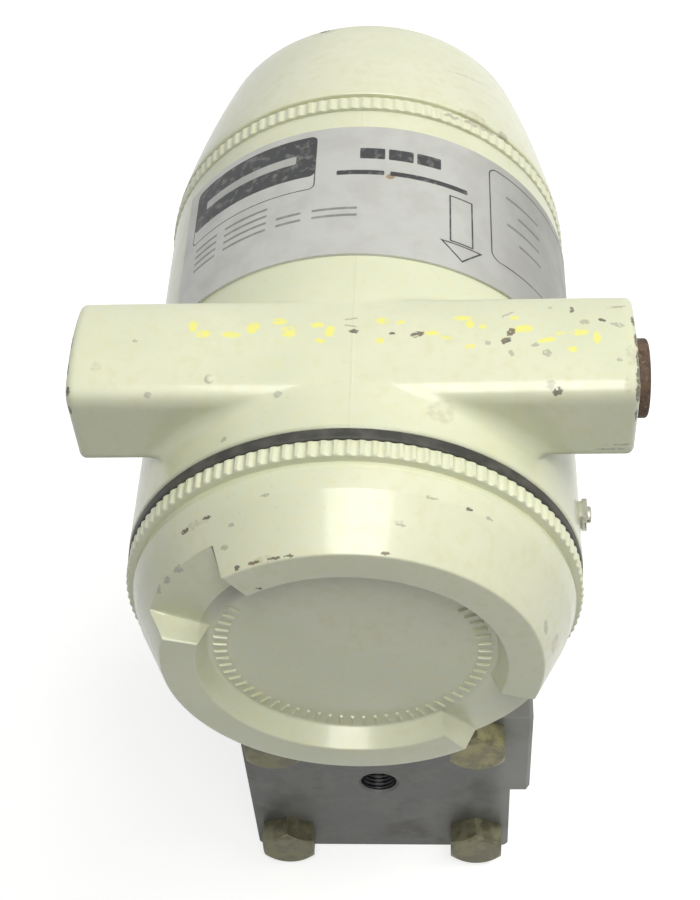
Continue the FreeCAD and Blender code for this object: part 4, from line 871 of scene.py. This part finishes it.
colour = mix(tree, grade(tree, tarnish, 0.36, 0.68), PLATE_GREY, PLATE_WORN)
# Painted shade and reflection: the plate is painted darker towards its right end, for the dimmer reflection
# there.
right_end_shade = grade(tree, across, PLATE_SHADE_FROM, PLATE_SHADE_FULL)
colour = laid_over(tree, colour, right_end_shade, PLATE_SHADE_SHARE, PLATE_RIGHT_SHADE)
colour = laid_over(tree, colour, spots(tree, place, [RUST_SPOT], 1.0, 1.5), RUST_SPOT_SHARE, PLATE_SPOT)
colour = mix(tree, ink, colour, PLATE_INK)
wire(tree, shader, colour, dulling(tree, tarnish, PLATE_ROUGHNESS), relief(tree, streaks, STREAK_DEPTH))
bare = maths(tree, "SUBTRACT", 1.0, ink)
tree.links.new(maths(tree, "MULTIPLY", bare, PLATE_METALLIC), shader.inputs["Metallic"])
dress(plate_finish, "nameplate")

# Terminal block: black moulding with barriers, screwed to the wall behind the front cover.
# Four brass terminal screws take the field wires, and a sealed bush carries them through the wall.
MOULDED_BLACK = (0.022, 0.022, 0.022, 1.0)
MOULDED_GREY = (0.042, 0.042, 0.040, 1.0)
MOULDED_ROUGHNESS = (0.38, 0.52)
MOULDED_GRAIN_DEPTH = 0.03
MOULDED_EASE = 0.4
BRASS_BRIGHT = (0.66, 0.48, 0.20, 1.0)
BRASS_DULL = (0.42, 0.30, 0.13, 1.0)
BRASS_ROUGHNESS = (0.32, 0.40)
BRASS_GRAIN_DEPTH = 0.02
BRASS_EASE = 0.3
EVEN_MARKS = (1, 1, 1)

moulded_finish, tree, shader, place = new_finish("moulded_black_plastic")
colour = mix(tree, clouds(tree, place, 3), MOULDED_BLACK, MOULDED_GREY)
grained = relief(tree, clouds(tree, place, 0.4, 2.0), MOULDED_GRAIN_DEPTH, eased_normal(tree, MOULDED_EASE))
wire(tree, shader, colour, dulling(tree, clouds(tree, place, 1.0), MOULDED_ROUGHNESS), grained)
dress(moulded_finish, "terminal_block", "ribbon_plug")

brass_finish, tree, shader, place = new_finish("plain_brass")
dulled = clouds(tree, place, 2.0, 4.0)
colour = mix(tree, grade(tree, dulled, 0.35, 0.65), BRASS_BRIGHT, BRASS_DULL)
grained = relief(tree, clouds(tree, place, 0.5), BRASS_GRAIN_DEPTH, eased_normal(tree, BRASS_EASE))
wire(tree, shader, colour, dulling(tree, dulled, BRASS_ROUGHNESS), grained)
shader.inputs["Metallic"].default_value = 1.0
dress(brass_finish, "terminal_screws", "board_spacers")
dress(bright_steel("small_screw_steel", EVEN_MARKS), "block_screws", "board_screws", "feedthrough")

# Circuit boards: two round green lacquered boards on brass spacers behind the wall, with black parts,
# joined to the sensor header by a flat grey ribbon lead.
BOARD_GREEN = (0.020, 0.115, 0.050, 1.0)
BOARD_TRACK = (0.035, 0.190, 0.085, 1.0)
BOARD_PART = (0.028, 0.028, 0.030, 1.0)
BOARD_ROUGHNESS = (0.32, 0.40)
BOARD_EASE = 0.3
TRACK_PITCH = 2.54
TRACK_EDGES = (0.35, 0.22)
TRACK_DEPTH = 0.03
POWER_BOARD_FACES = (18.0, 19.6)
MAIN_BOARD_FACES = (33.6, 35.2)
LEAD_GREY = (0.28, 0.28, 0.29, 1.0)
LEAD_PALE = (0.42, 0.42, 0.43, 1.0)
LEAD_ROUGHNESS = (0.45, 0.6)
STRAND_PITCH = 1.27
STRAND_HEIGHT = 0.2


def board_finish(name, front, back):
    """Lacquered board with tracks between its two faces, and dark parts beyond them."""
    finish, tree, shader, place = new_finish(name)
    parts = add(tree, "SeparateXYZ", {0: place}).outputs
    grid = maths(tree, "PINGPONG", parts["X"], TRACK_PITCH / 2)
    laid = grade(tree, clouds(tree, place, 9, 1.0), 0.44, 0.48)
    tracks = maths(tree, "MULTIPLY", grade(tree, grid, *TRACK_EDGES), laid)
    colour = mix(tree, tracks, BOARD_GREEN, BOARD_TRACK)
    off = maths(tree, "ABSOLUTE", maths(tree, "SUBTRACT", parts["Y"], (front + back) / 2))
    raised = grade(tree, off, (back - front) / 2 + 0.02, (back - front) / 2 + 0.06)
    colour = mix(tree, raised, colour, BOARD_PART)
    lacquered = relief(tree, tracks, TRACK_DEPTH, eased_normal(tree, BOARD_EASE))
    wire(tree, shader, colour, dulling(tree, clouds(tree, place, 2.0), BOARD_ROUGHNESS), lacquered)
    return finish


dress(board_finish("power_board_lacquer", *POWER_BOARD_FACES), "power_board")
dress(board_finish("main_board_lacquer", *MAIN_BOARD_FACES), "main_board")

ribbon_finish, tree, shader, place = new_finish("grey_flat_lead")
sideways = add(tree, "SeparateXYZ", {0: place}).outputs["X"]
ridges = grade(tree, maths(tree, "PINGPONG", sideways, STRAND_PITCH / 2), 0.0, 0.5)
colour = mix(tree, ridges, LEAD_GREY, LEAD_PALE)
roughness = dulling(tree, clouds(tree, place, 2.0), LEAD_ROUGHNESS)
wire(tree, shader, colour, roughness, relief(tree, ridges, STRAND_HEIGHT))
dress(ribbon_finish, "sensor_ribbon")

# Cover seals: thick moulded rings of black rubber, one between each cover's flange and the barrel's end.
# Each is squeezed as its cover is screwed home, and comes away with it.
dress(rubber_finish, "front_cover_seal", "rear_cover_seal")

# Front cover: cast aluminium, sprayed cream like the housing, screwed into the barrel over the terminals.
# It has a straight-knurled flange, a conical cap with a slight break, and a raised ring with two notches.
# Plain raised bars stand round the dished face inside the ring.
KNURL_RIDGES = 120
KNURL_WIDTH = 4.9
GROOVE_WIDTH = 1.7
GROOVE_DEPTH = 2.4
RING_WIDTH = 8.8
RING_HEIGHT = 6.0
RING_DRAFT = 2.4
NOTCH_SWEEP = 36.5
NOTCH_FALL = 1.2
SKIRT_RADIUS = 52.0
SKIRT_WALL = 4.5
SKIRT_THREAD_CREST = 51.6
SKIRT_THREAD_DEPTH = 1.0
COVER_WALL = 5.0
COLUMNS_PER_RIDGE = 8
RIDGE_ROOT = 0.12
RIDGE_RISE = 0.7
FACE_RADII = (6, 14, 22, 29, 32.5)
FOOT_EASE = 1.0
RING_INNER_EASE = 0.7
RING_OUTER_EASE = 0.8
SHOULDER_EASE = 0.6
SKIRT_CHAMFER = 0.8
CEILING_EASE = 2.5
CROSSING_STEP = 0.3
# A notch wall is steps into the notch, each with its share of the way down.
NOTCH_WALL = (
    (-0.9, 0.0), (-0.35, 0.005), (-0.12, 0.04), (0.0, 0.1), (0.35, 0.88), (0.55, 0.965), (0.95, 1.0),
)
NOTCH_WALL_CLEAR = 1.1
COVER_SHARP_FROM = 32
SKIRT_THREAD_END = 1.0
SKIRT_THREAD_BACKING = 0.3
FRONT_CREST = 58.3
FRONT_SHOULDER = 56.6
FRONT_END = 47.6
FRONT_LENGTH = 25.6
FRONT_SKIRT = 15.2
FRONT_KNURL_DEPTH = 0.6
FRONT_BREAK = (54.65, 11.8)
FRONT_EASE = 0.6
FRONT_NOTCH = 126.5
FRONT_THREAD_START = 3.7
FACE_BAR_COUNT = 46
FACE_BAR_FROM = 148.0
FACE_BAR_TO = 392.0
FACE_BAR_INNER = 31.3
FACE_BAR_OUTER = 35.0
FACE_BAR_THICK = 1.0
FACE_BAR_HEIGHT = 0.6
# Foot sunk in the face, then a drafted side and a smaller top: each a rise and an inset.
FACE_BAR_LEVELS = ((-0.3, 0.0), (FACE_BAR_HEIGHT * 0.6, 0.12), (FACE_BAR_HEIGHT, 0.3))


def arc(corner, before, after, radius, steps=4):
    """Points that round off a corner of a profile between its two neighbours."""
    corner, before, after = Vector(corner), Vector(before), Vector(after)
    to_before = (before - corner).normalized()
    to_after = (after - corner).normalized()
    half = to_before.angle(to_after) / 2
    trim = radius / math.tan(half)
    middle = corner + (to_before + to_after).normalized() * (radius / math.sin(half))
    start = corner + to_before * trim - middle
    end = corner + to_after * trim - middle
    swing = start.angle(end)
    return [tuple(middle + (start * math.sin((1 - t) * swing) + end * math.sin(t * swing)) / math.sin(swing))
            for t in (i / steps for i in range(steps + 1))]


def cover_piece(name, side, flange, crest, knurl_depth, cap, ease, end, length, skirt, notch_start, finish):
    """Screwed cover turned from a profile of radius and distance from the flange, knurled and notched.

    The cap is the points of its side from the groove outwards, rounded off by the ease.
    All sizes are in millimetres.
    """
    root = crest - knurl_depth
    floor = length - RING_HEIGHT
    ring_inner = end - RING_WIDTH
    foot = ring_inner - RING_DRAFT
    skirt_inner = SKIRT_RADIUS - SKIRT_WALL
    skirt_outer = SKIRT_THREAD_CREST - SKIRT_THREAD_DEPTH
    top = cap[0][0]
    ceiling = floor - COVER_WALL
    ceiling_radius = min(skirt_inner, end + 1.0 - COVER_WALL + (length - ceiling) * (top - end) / length)
    groove = crest - GROOVE_DEPTH
    # Each entry is a radius and a distance, and in the profile also how much of the knurl it carries.
    plain = [(r, floor) for r in FACE_RADII]
    plain += arc((foot, floor), (0, floor), (ring_inner, length), FOOT_EASE)
    plain += arc((ring_inner, length), (foot, floor), (end, length), RING_INNER_EASE)
    plain += [((ring_inner + end) / 2, length)]
    plain += arc((end, length), (ring_inner, length), cap[-1], RING_OUTER_EASE)
    for i in range(len(cap) - 1, 0, -1):
        outer = (end, length) if i == len(cap) - 1 else cap[i + 1]
        plain += arc(cap[i], outer, cap[i - 1], ease, 3)
    plain += arc(cap[0], cap[1], (groove, cap[0][1]), SHOULDER_EASE)
    plain += [(groove, KNURL_WIDTH + GROOVE_WIDTH), (groove, KNURL_WIDTH)]
    profile = [(r, s, 0) for r, s in plain]
    # The knurl fades out at both edges of the flange.
    profile += [(root - 0.25, KNURL_WIDTH, 0.0), (root, KNURL_WIDTH - 0.15, 0.45)]
    profile += [(root, KNURL_WIDTH - 0.5, 1.0), (root, 0.5, 1.0), (root, 0.15, 0.5), (root - 0.3, 0, 0.1)]
    profile += [(skirt_outer, 0, 0), (skirt_outer, -skirt + SKIRT_CHAMFER, 0)]
    profile += [(skirt_outer - SKIRT_CHAMFER, -skirt, 0), (skirt_inner, -skirt, 0), (skirt_inner, 0, 0)]
    profile += [(ceiling_radius, ceiling - CEILING_EASE, 0), (ceiling_radius - CEILING_EASE, ceiling, 0)]
    profile += [(ceiling_radius / 2, ceiling, 0)]

    # The notch floor falls away outwards. The profile gets points where the floor comes out of its side.
    def notch_floor(radius):
        return floor - NOTCH_FALL * max(0.0, radius - foot) / (end - foot)

    for i in range(len(profile) - 1, 0, -1):
        (r0, d0, _), (r1, d1, _) = profile[i - 1], profile[i]
        above, below = d0 - notch_floor(r0), d1 - notch_floor(r1)
        if above > 0.01 and below < -0.01 and r1 > end:
            crossing = above / (above - below)
            step = min(crossing, 1 - crossing, CROSSING_STEP / math.hypot(r1 - r0, d1 - d0))
            profile[i:i] = [(r0 + (r1 - r0) * t, d0 + (d1 - d0) * t, 0) for t in
                            (crossing - step / 2, crossing, crossing + step / 2)]

    def turned_by(angle, start):
        return (angle - start + 180) % 360 - 180

    # Columns all round, closer at the notch walls. Each has a share of the way down to the notch floor.
    count = KNURL_RIDGES * COLUMNS_PER_RIDGE
    columns = [(360 * c / count, 0.0) for c in range(count)]
    per_mm = math.degrees(1 / (end - RING_WIDTH / 2))
    for opposite in (0, 180):
        begin = (notch_start + opposite) % 360
        finish_at = (begin + NOTCH_SWEEP) % 360
        kept = []
        for angle, share in columns:
            inside = 0 < turned_by(angle, begin) < NOTCH_SWEEP
            off_wall = min(abs(turned_by(angle, begin)), abs(turned_by(angle, finish_at)))
            if off_wall >= NOTCH_WALL_CLEAR * per_mm:
                kept.append((angle, 1.0 if inside else share))
        for offset, share in NOTCH_WALL:
            kept.append(((begin + offset * per_mm) % 360, share))
            kept.append(((finish_at - offset * per_mm) % 360, share))
        columns = sorted(kept)

    def ridge(angle):
        share = angle / 360 * KNURL_RIDGES % 1
        swell = 0.5 - 0.5 * math.cos(2 * math.pi * share)
        return min(1.0, max(0.0, (swell - RIDGE_ROOT) / RIDGE_RISE))

    points = []
    for radius, distance, knurl in profile:
        for angle, share in columns:
            r = radius + knurl * knurl_depth * ridge(angle)
            a = math.radians(angle)
            limit = length - share * (length - notch_floor(radius))
            points.append((r * math.cos(a) * MM, side * (flange + min(distance, limit)) * MM,
                           (AXIS_Z + r * math.sin(a)) * MM))
    n = len(columns)
    faces = []
    for p in range(len(profile) - 1):
        for c in range(n):
            beside = (c + 1) % n
            faces.append((p * n + c, p * n + beside, (p + 1) * n + beside, (p + 1) * n + c))
    outer_pole = len(points)
    points.append((0, side * (flange + floor) * MM, AXIS_Z * MM))
    points.append((0, side * (flange + ceiling) * MM, AXIS_Z * MM))
    last = (len(profile) - 1) * n
    for c in range(n):
        beside = (c + 1) % n
        faces.append((outer_pole, beside, c))
        faces.append((outer_pole + 1, last + c, last + beside))
    body = name.replace("_shell", "")
    return finished_piece(name, points, faces, finish, body, COVER_SHARP_FROM)


front_chips = [
    ((-24.4, -99.2, 232.5), (1.0, 0.6, 0.8), 0),
    ((-20.6, -99.2, 234.6), (2.2, 0.4, 0.9), 0),
    ((-15.8, -99.3, 236.4), (2.4, 0.35, 0.6), 0),
    ((-12.4, -99.4, 237.4), (1.6, 0.3, 0.4), 0),
    ((10.5, -99.2, 238.0), (2.2, 0.3, 0.4), 0),
    ((-25.4, -99.9, 223.6), (0.9, 0.6, 0.6), 0),
    ((-19.8, -99.6, 225.6), (1.1, 0.7, 0.5), 0),
    ((-38.1, -86.5, 230.2), (1.6, 0.5, 1.3), 0),
    ((-32.0, -86.4, 234.9), (1.6, 0.4, 1.0), 0),
    ((29.2, -86.2, 237.4), (1.1, 0.4, 0.7), 0),
    ((50.0, -93.0, 196.0), (0.6, 1.2, 0.6), 0),
]
front_smudges = [
    ((-45.8, -92.2, 214.8), (0.7, 0.5, 2.2), 0),
    ((-43.4, -92.2, 218.9), (1.1, 0.5, 2.0), 0),
    ((-40.2, -92.3, 223.2), (1.7, 0.5, 1.7), 0),
    ((-17.8, -86.0, 242.8), (1.5, 0.35, 0.6), 0),
    ((20.6, -86.2, 241.6), (2.3, 0.35, 0.8), 0),
    ((33.8, -86.2, 234.0), (1.3, 0.4, 1.0), 0),
    ((13.4, -93.0, 240.4), (1.8, 0.35, 0.4), 0),
    ((-27.4, -94.0, 233.4), (1.4, 0.7, 0.7), 0),
    ((-26.0, -90.0, 236.9), (1.0, 0.5, 0.6), 0),
    ((47.6, -96.7, 204.9), (0.7, 1.2, 3.0), 0),
]
front_rubs = [
    ((-35.0, -86.4, 232.6), (4.5, 0.9, 3.4), 0),
    ((-18.0, -99.0, 235.6), (6.0, 0.7, 2.6), 0),
    ((12.0, -92.4, 240.8), (2.2, 0.5, 0.6), 0),
    ((50.0, -94.0, 195.0), (1.2, 3.5, 3.5), 0),
]
ring_wall = (FRONT_END - RING_WIDTH - RING_DRAFT, FRONT_END - RING_WIDTH)
# The front cover's paint gets painted shade under the top of its ring.
front_finish = cream_paint("cream_front_cover_paint", front_chips, front_rubs, front_smudges, ring_shade=ring_wall)
front_flange = -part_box("front_cover_seal")[0].y / MM
front_cap = [(FRONT_SHOULDER, KNURL_WIDTH + GROOVE_WIDTH), FRONT_BREAK]
front_shell = cover_piece("front_cover_shell", -1, front_flange, FRONT_CREST, FRONT_KNURL_DEPTH, front_cap,
                          FRONT_EASE, FRONT_END, FRONT_LENGTH, FRONT_SKIRT, FRONT_NOTCH, front_finish)
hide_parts("front_cover")


def skirt_thread(name, side, flange, skirt, start, body):
    """Thread round a cover's skirt."""
    mouth = Vector((0, side * (flange - start), AXIS_Z))
    root = SKIRT_THREAD_CREST - SKIRT_THREAD_DEPTH
    rows = thread_rows(mouth, Vector((0, -side, 0)), root, SKIRT_THREAD_DEPTH, COVER_PITCH,
                       skirt - start - SKIRT_THREAD_END, root - SKIRT_THREAD_BACKING)
    return loft(name, [rows], bore_finish, body)


skirt_thread("front_cover_thread", -1, front_flange, FRONT_SKIRT, FRONT_THREAD_START, "front_cover")

bar_points = []
bar_faces = []
face_y = -(front_flange + FRONT_LENGTH - RING_HEIGHT)
for b in range(FACE_BAR_COUNT):
    a = math.radians(FACE_BAR_FROM + (FACE_BAR_TO - FACE_BAR_FROM) * b / (FACE_BAR_COUNT - 1))
    out = Vector((math.cos(a), 0, math.sin(a)))
    sideways = Vector((-math.sin(a), 0, math.cos(a)))
    first = len(bar_points)
    for rise, inset in FACE_BAR_LEVELS:
        near, far = FACE_BAR_INNER + inset, FACE_BAR_OUTER - inset
        for radius, way in ((near, -1), (far, -1), (far, 1), (near, 1)):
            point = out * radius + sideways * way * (FACE_BAR_THICK / 2 - inset)
            bar_points.append((point.x * MM, (face_y - rise) * MM, (AXIS_Z + point.z) * MM))
    for level in (0, 4):
        for c in range(4):
            bar_faces.append(tuple(first + level + i for i in (c, (c + 1) % 4, (c + 1) % 4 + 4, c + 4)))
    bar_faces.append(tuple(first + i for i in (0, 1, 2, 3)))
    bar_faces.append(tuple(first + i for i in (8, 9, 10, 11)))
finished_piece("front_cover_bars", bar_points, bar_faces, front_finish, "front_cover")

# Rear cover: the same casting but longer, over the electronics, with a side that bows out a little.
# Its paint is thick in the knurl, soiled beside the groove, scratched on the right and chipped at the rim.
REAR_CREST = 59.1
REAR_SHOULDER = 58.9
REAR_SWELL = 0.8
REAR_END = 48.4
REAR_LENGTH = 53.4
REAR_SKIRT = 12.7
REAR_KNURL_DEPTH = 0.45
REAR_NOTCH = -18.25
REAR_THREAD_START = 5.2
REAR_CAP_STATIONS = 7
REAR_EASE = 2.0

rear_chips = [
    ((23.3, 66.9, 246.0), (0.9, 0.9, 2.5), 0),
    ((19.8, 67.0, 247.5), (0.9, 0.7, 2.5), 0),
    ((-12.0, 99.0, 238.0), (2.6, 0.8, 0.7), 0),
]
rear_smudges = [
    ((26.0, 49.5, 244.0), (2.4, 0.9, 2.4), 0),
    ((31.5, 50.0, 241.0), (2.2, 1.0, 2.2), 0),
    ((36.5, 51.0, 237.6), (2.6, 1.2, 2.6), 0),
    ((41.0, 53.5, 233.6), (1.6, 2.2, 2.2), 0),
]
rear_rubs = [
    ((31.0, 79.0, 235.0), (9.5, 0.8, 6.0), 22),
    ((33.0, 53.0, 240.0), (6.0, 4.0, 5.0), 0),
    ((21.5, 67.0, 247.0), (4.0, 2.0, 3.0), 0),
    ((-12.0, 98.0, 238.4), (5.0, 1.5, 1.5), 0),
]
rear_finish = cream_paint("cream_rear_cover_paint", rear_chips, rear_rubs, rear_smudges)
rear_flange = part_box("rear_cover_seal")[1].y / MM
rear_start = KNURL_WIDTH + GROOVE_WIDTH
rear_cap = []
for i in range(REAR_CAP_STATIONS):
    t = i / REAR_CAP_STATIONS
    bow = REAR_SWELL * 4 * t * (1 - t)
    radius = REAR_SHOULDER + (REAR_END - REAR_SHOULDER) * t + bow
    rear_cap.append((radius, rear_start + (REAR_LENGTH - rear_start) * t))
rear_shell = cover_piece("rear_cover_shell", 1, rear_flange, REAR_CREST, REAR_KNURL_DEPTH, rear_cap,
                         REAR_EASE, REAR_END, REAR_LENGTH, REAR_SKIRT, REAR_NOTCH, rear_finish)
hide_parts("rear_cover")
skirt_thread("rear_cover_thread", 1, rear_flange, REAR_SKIRT, REAR_THREAD_START, "rear_cover")
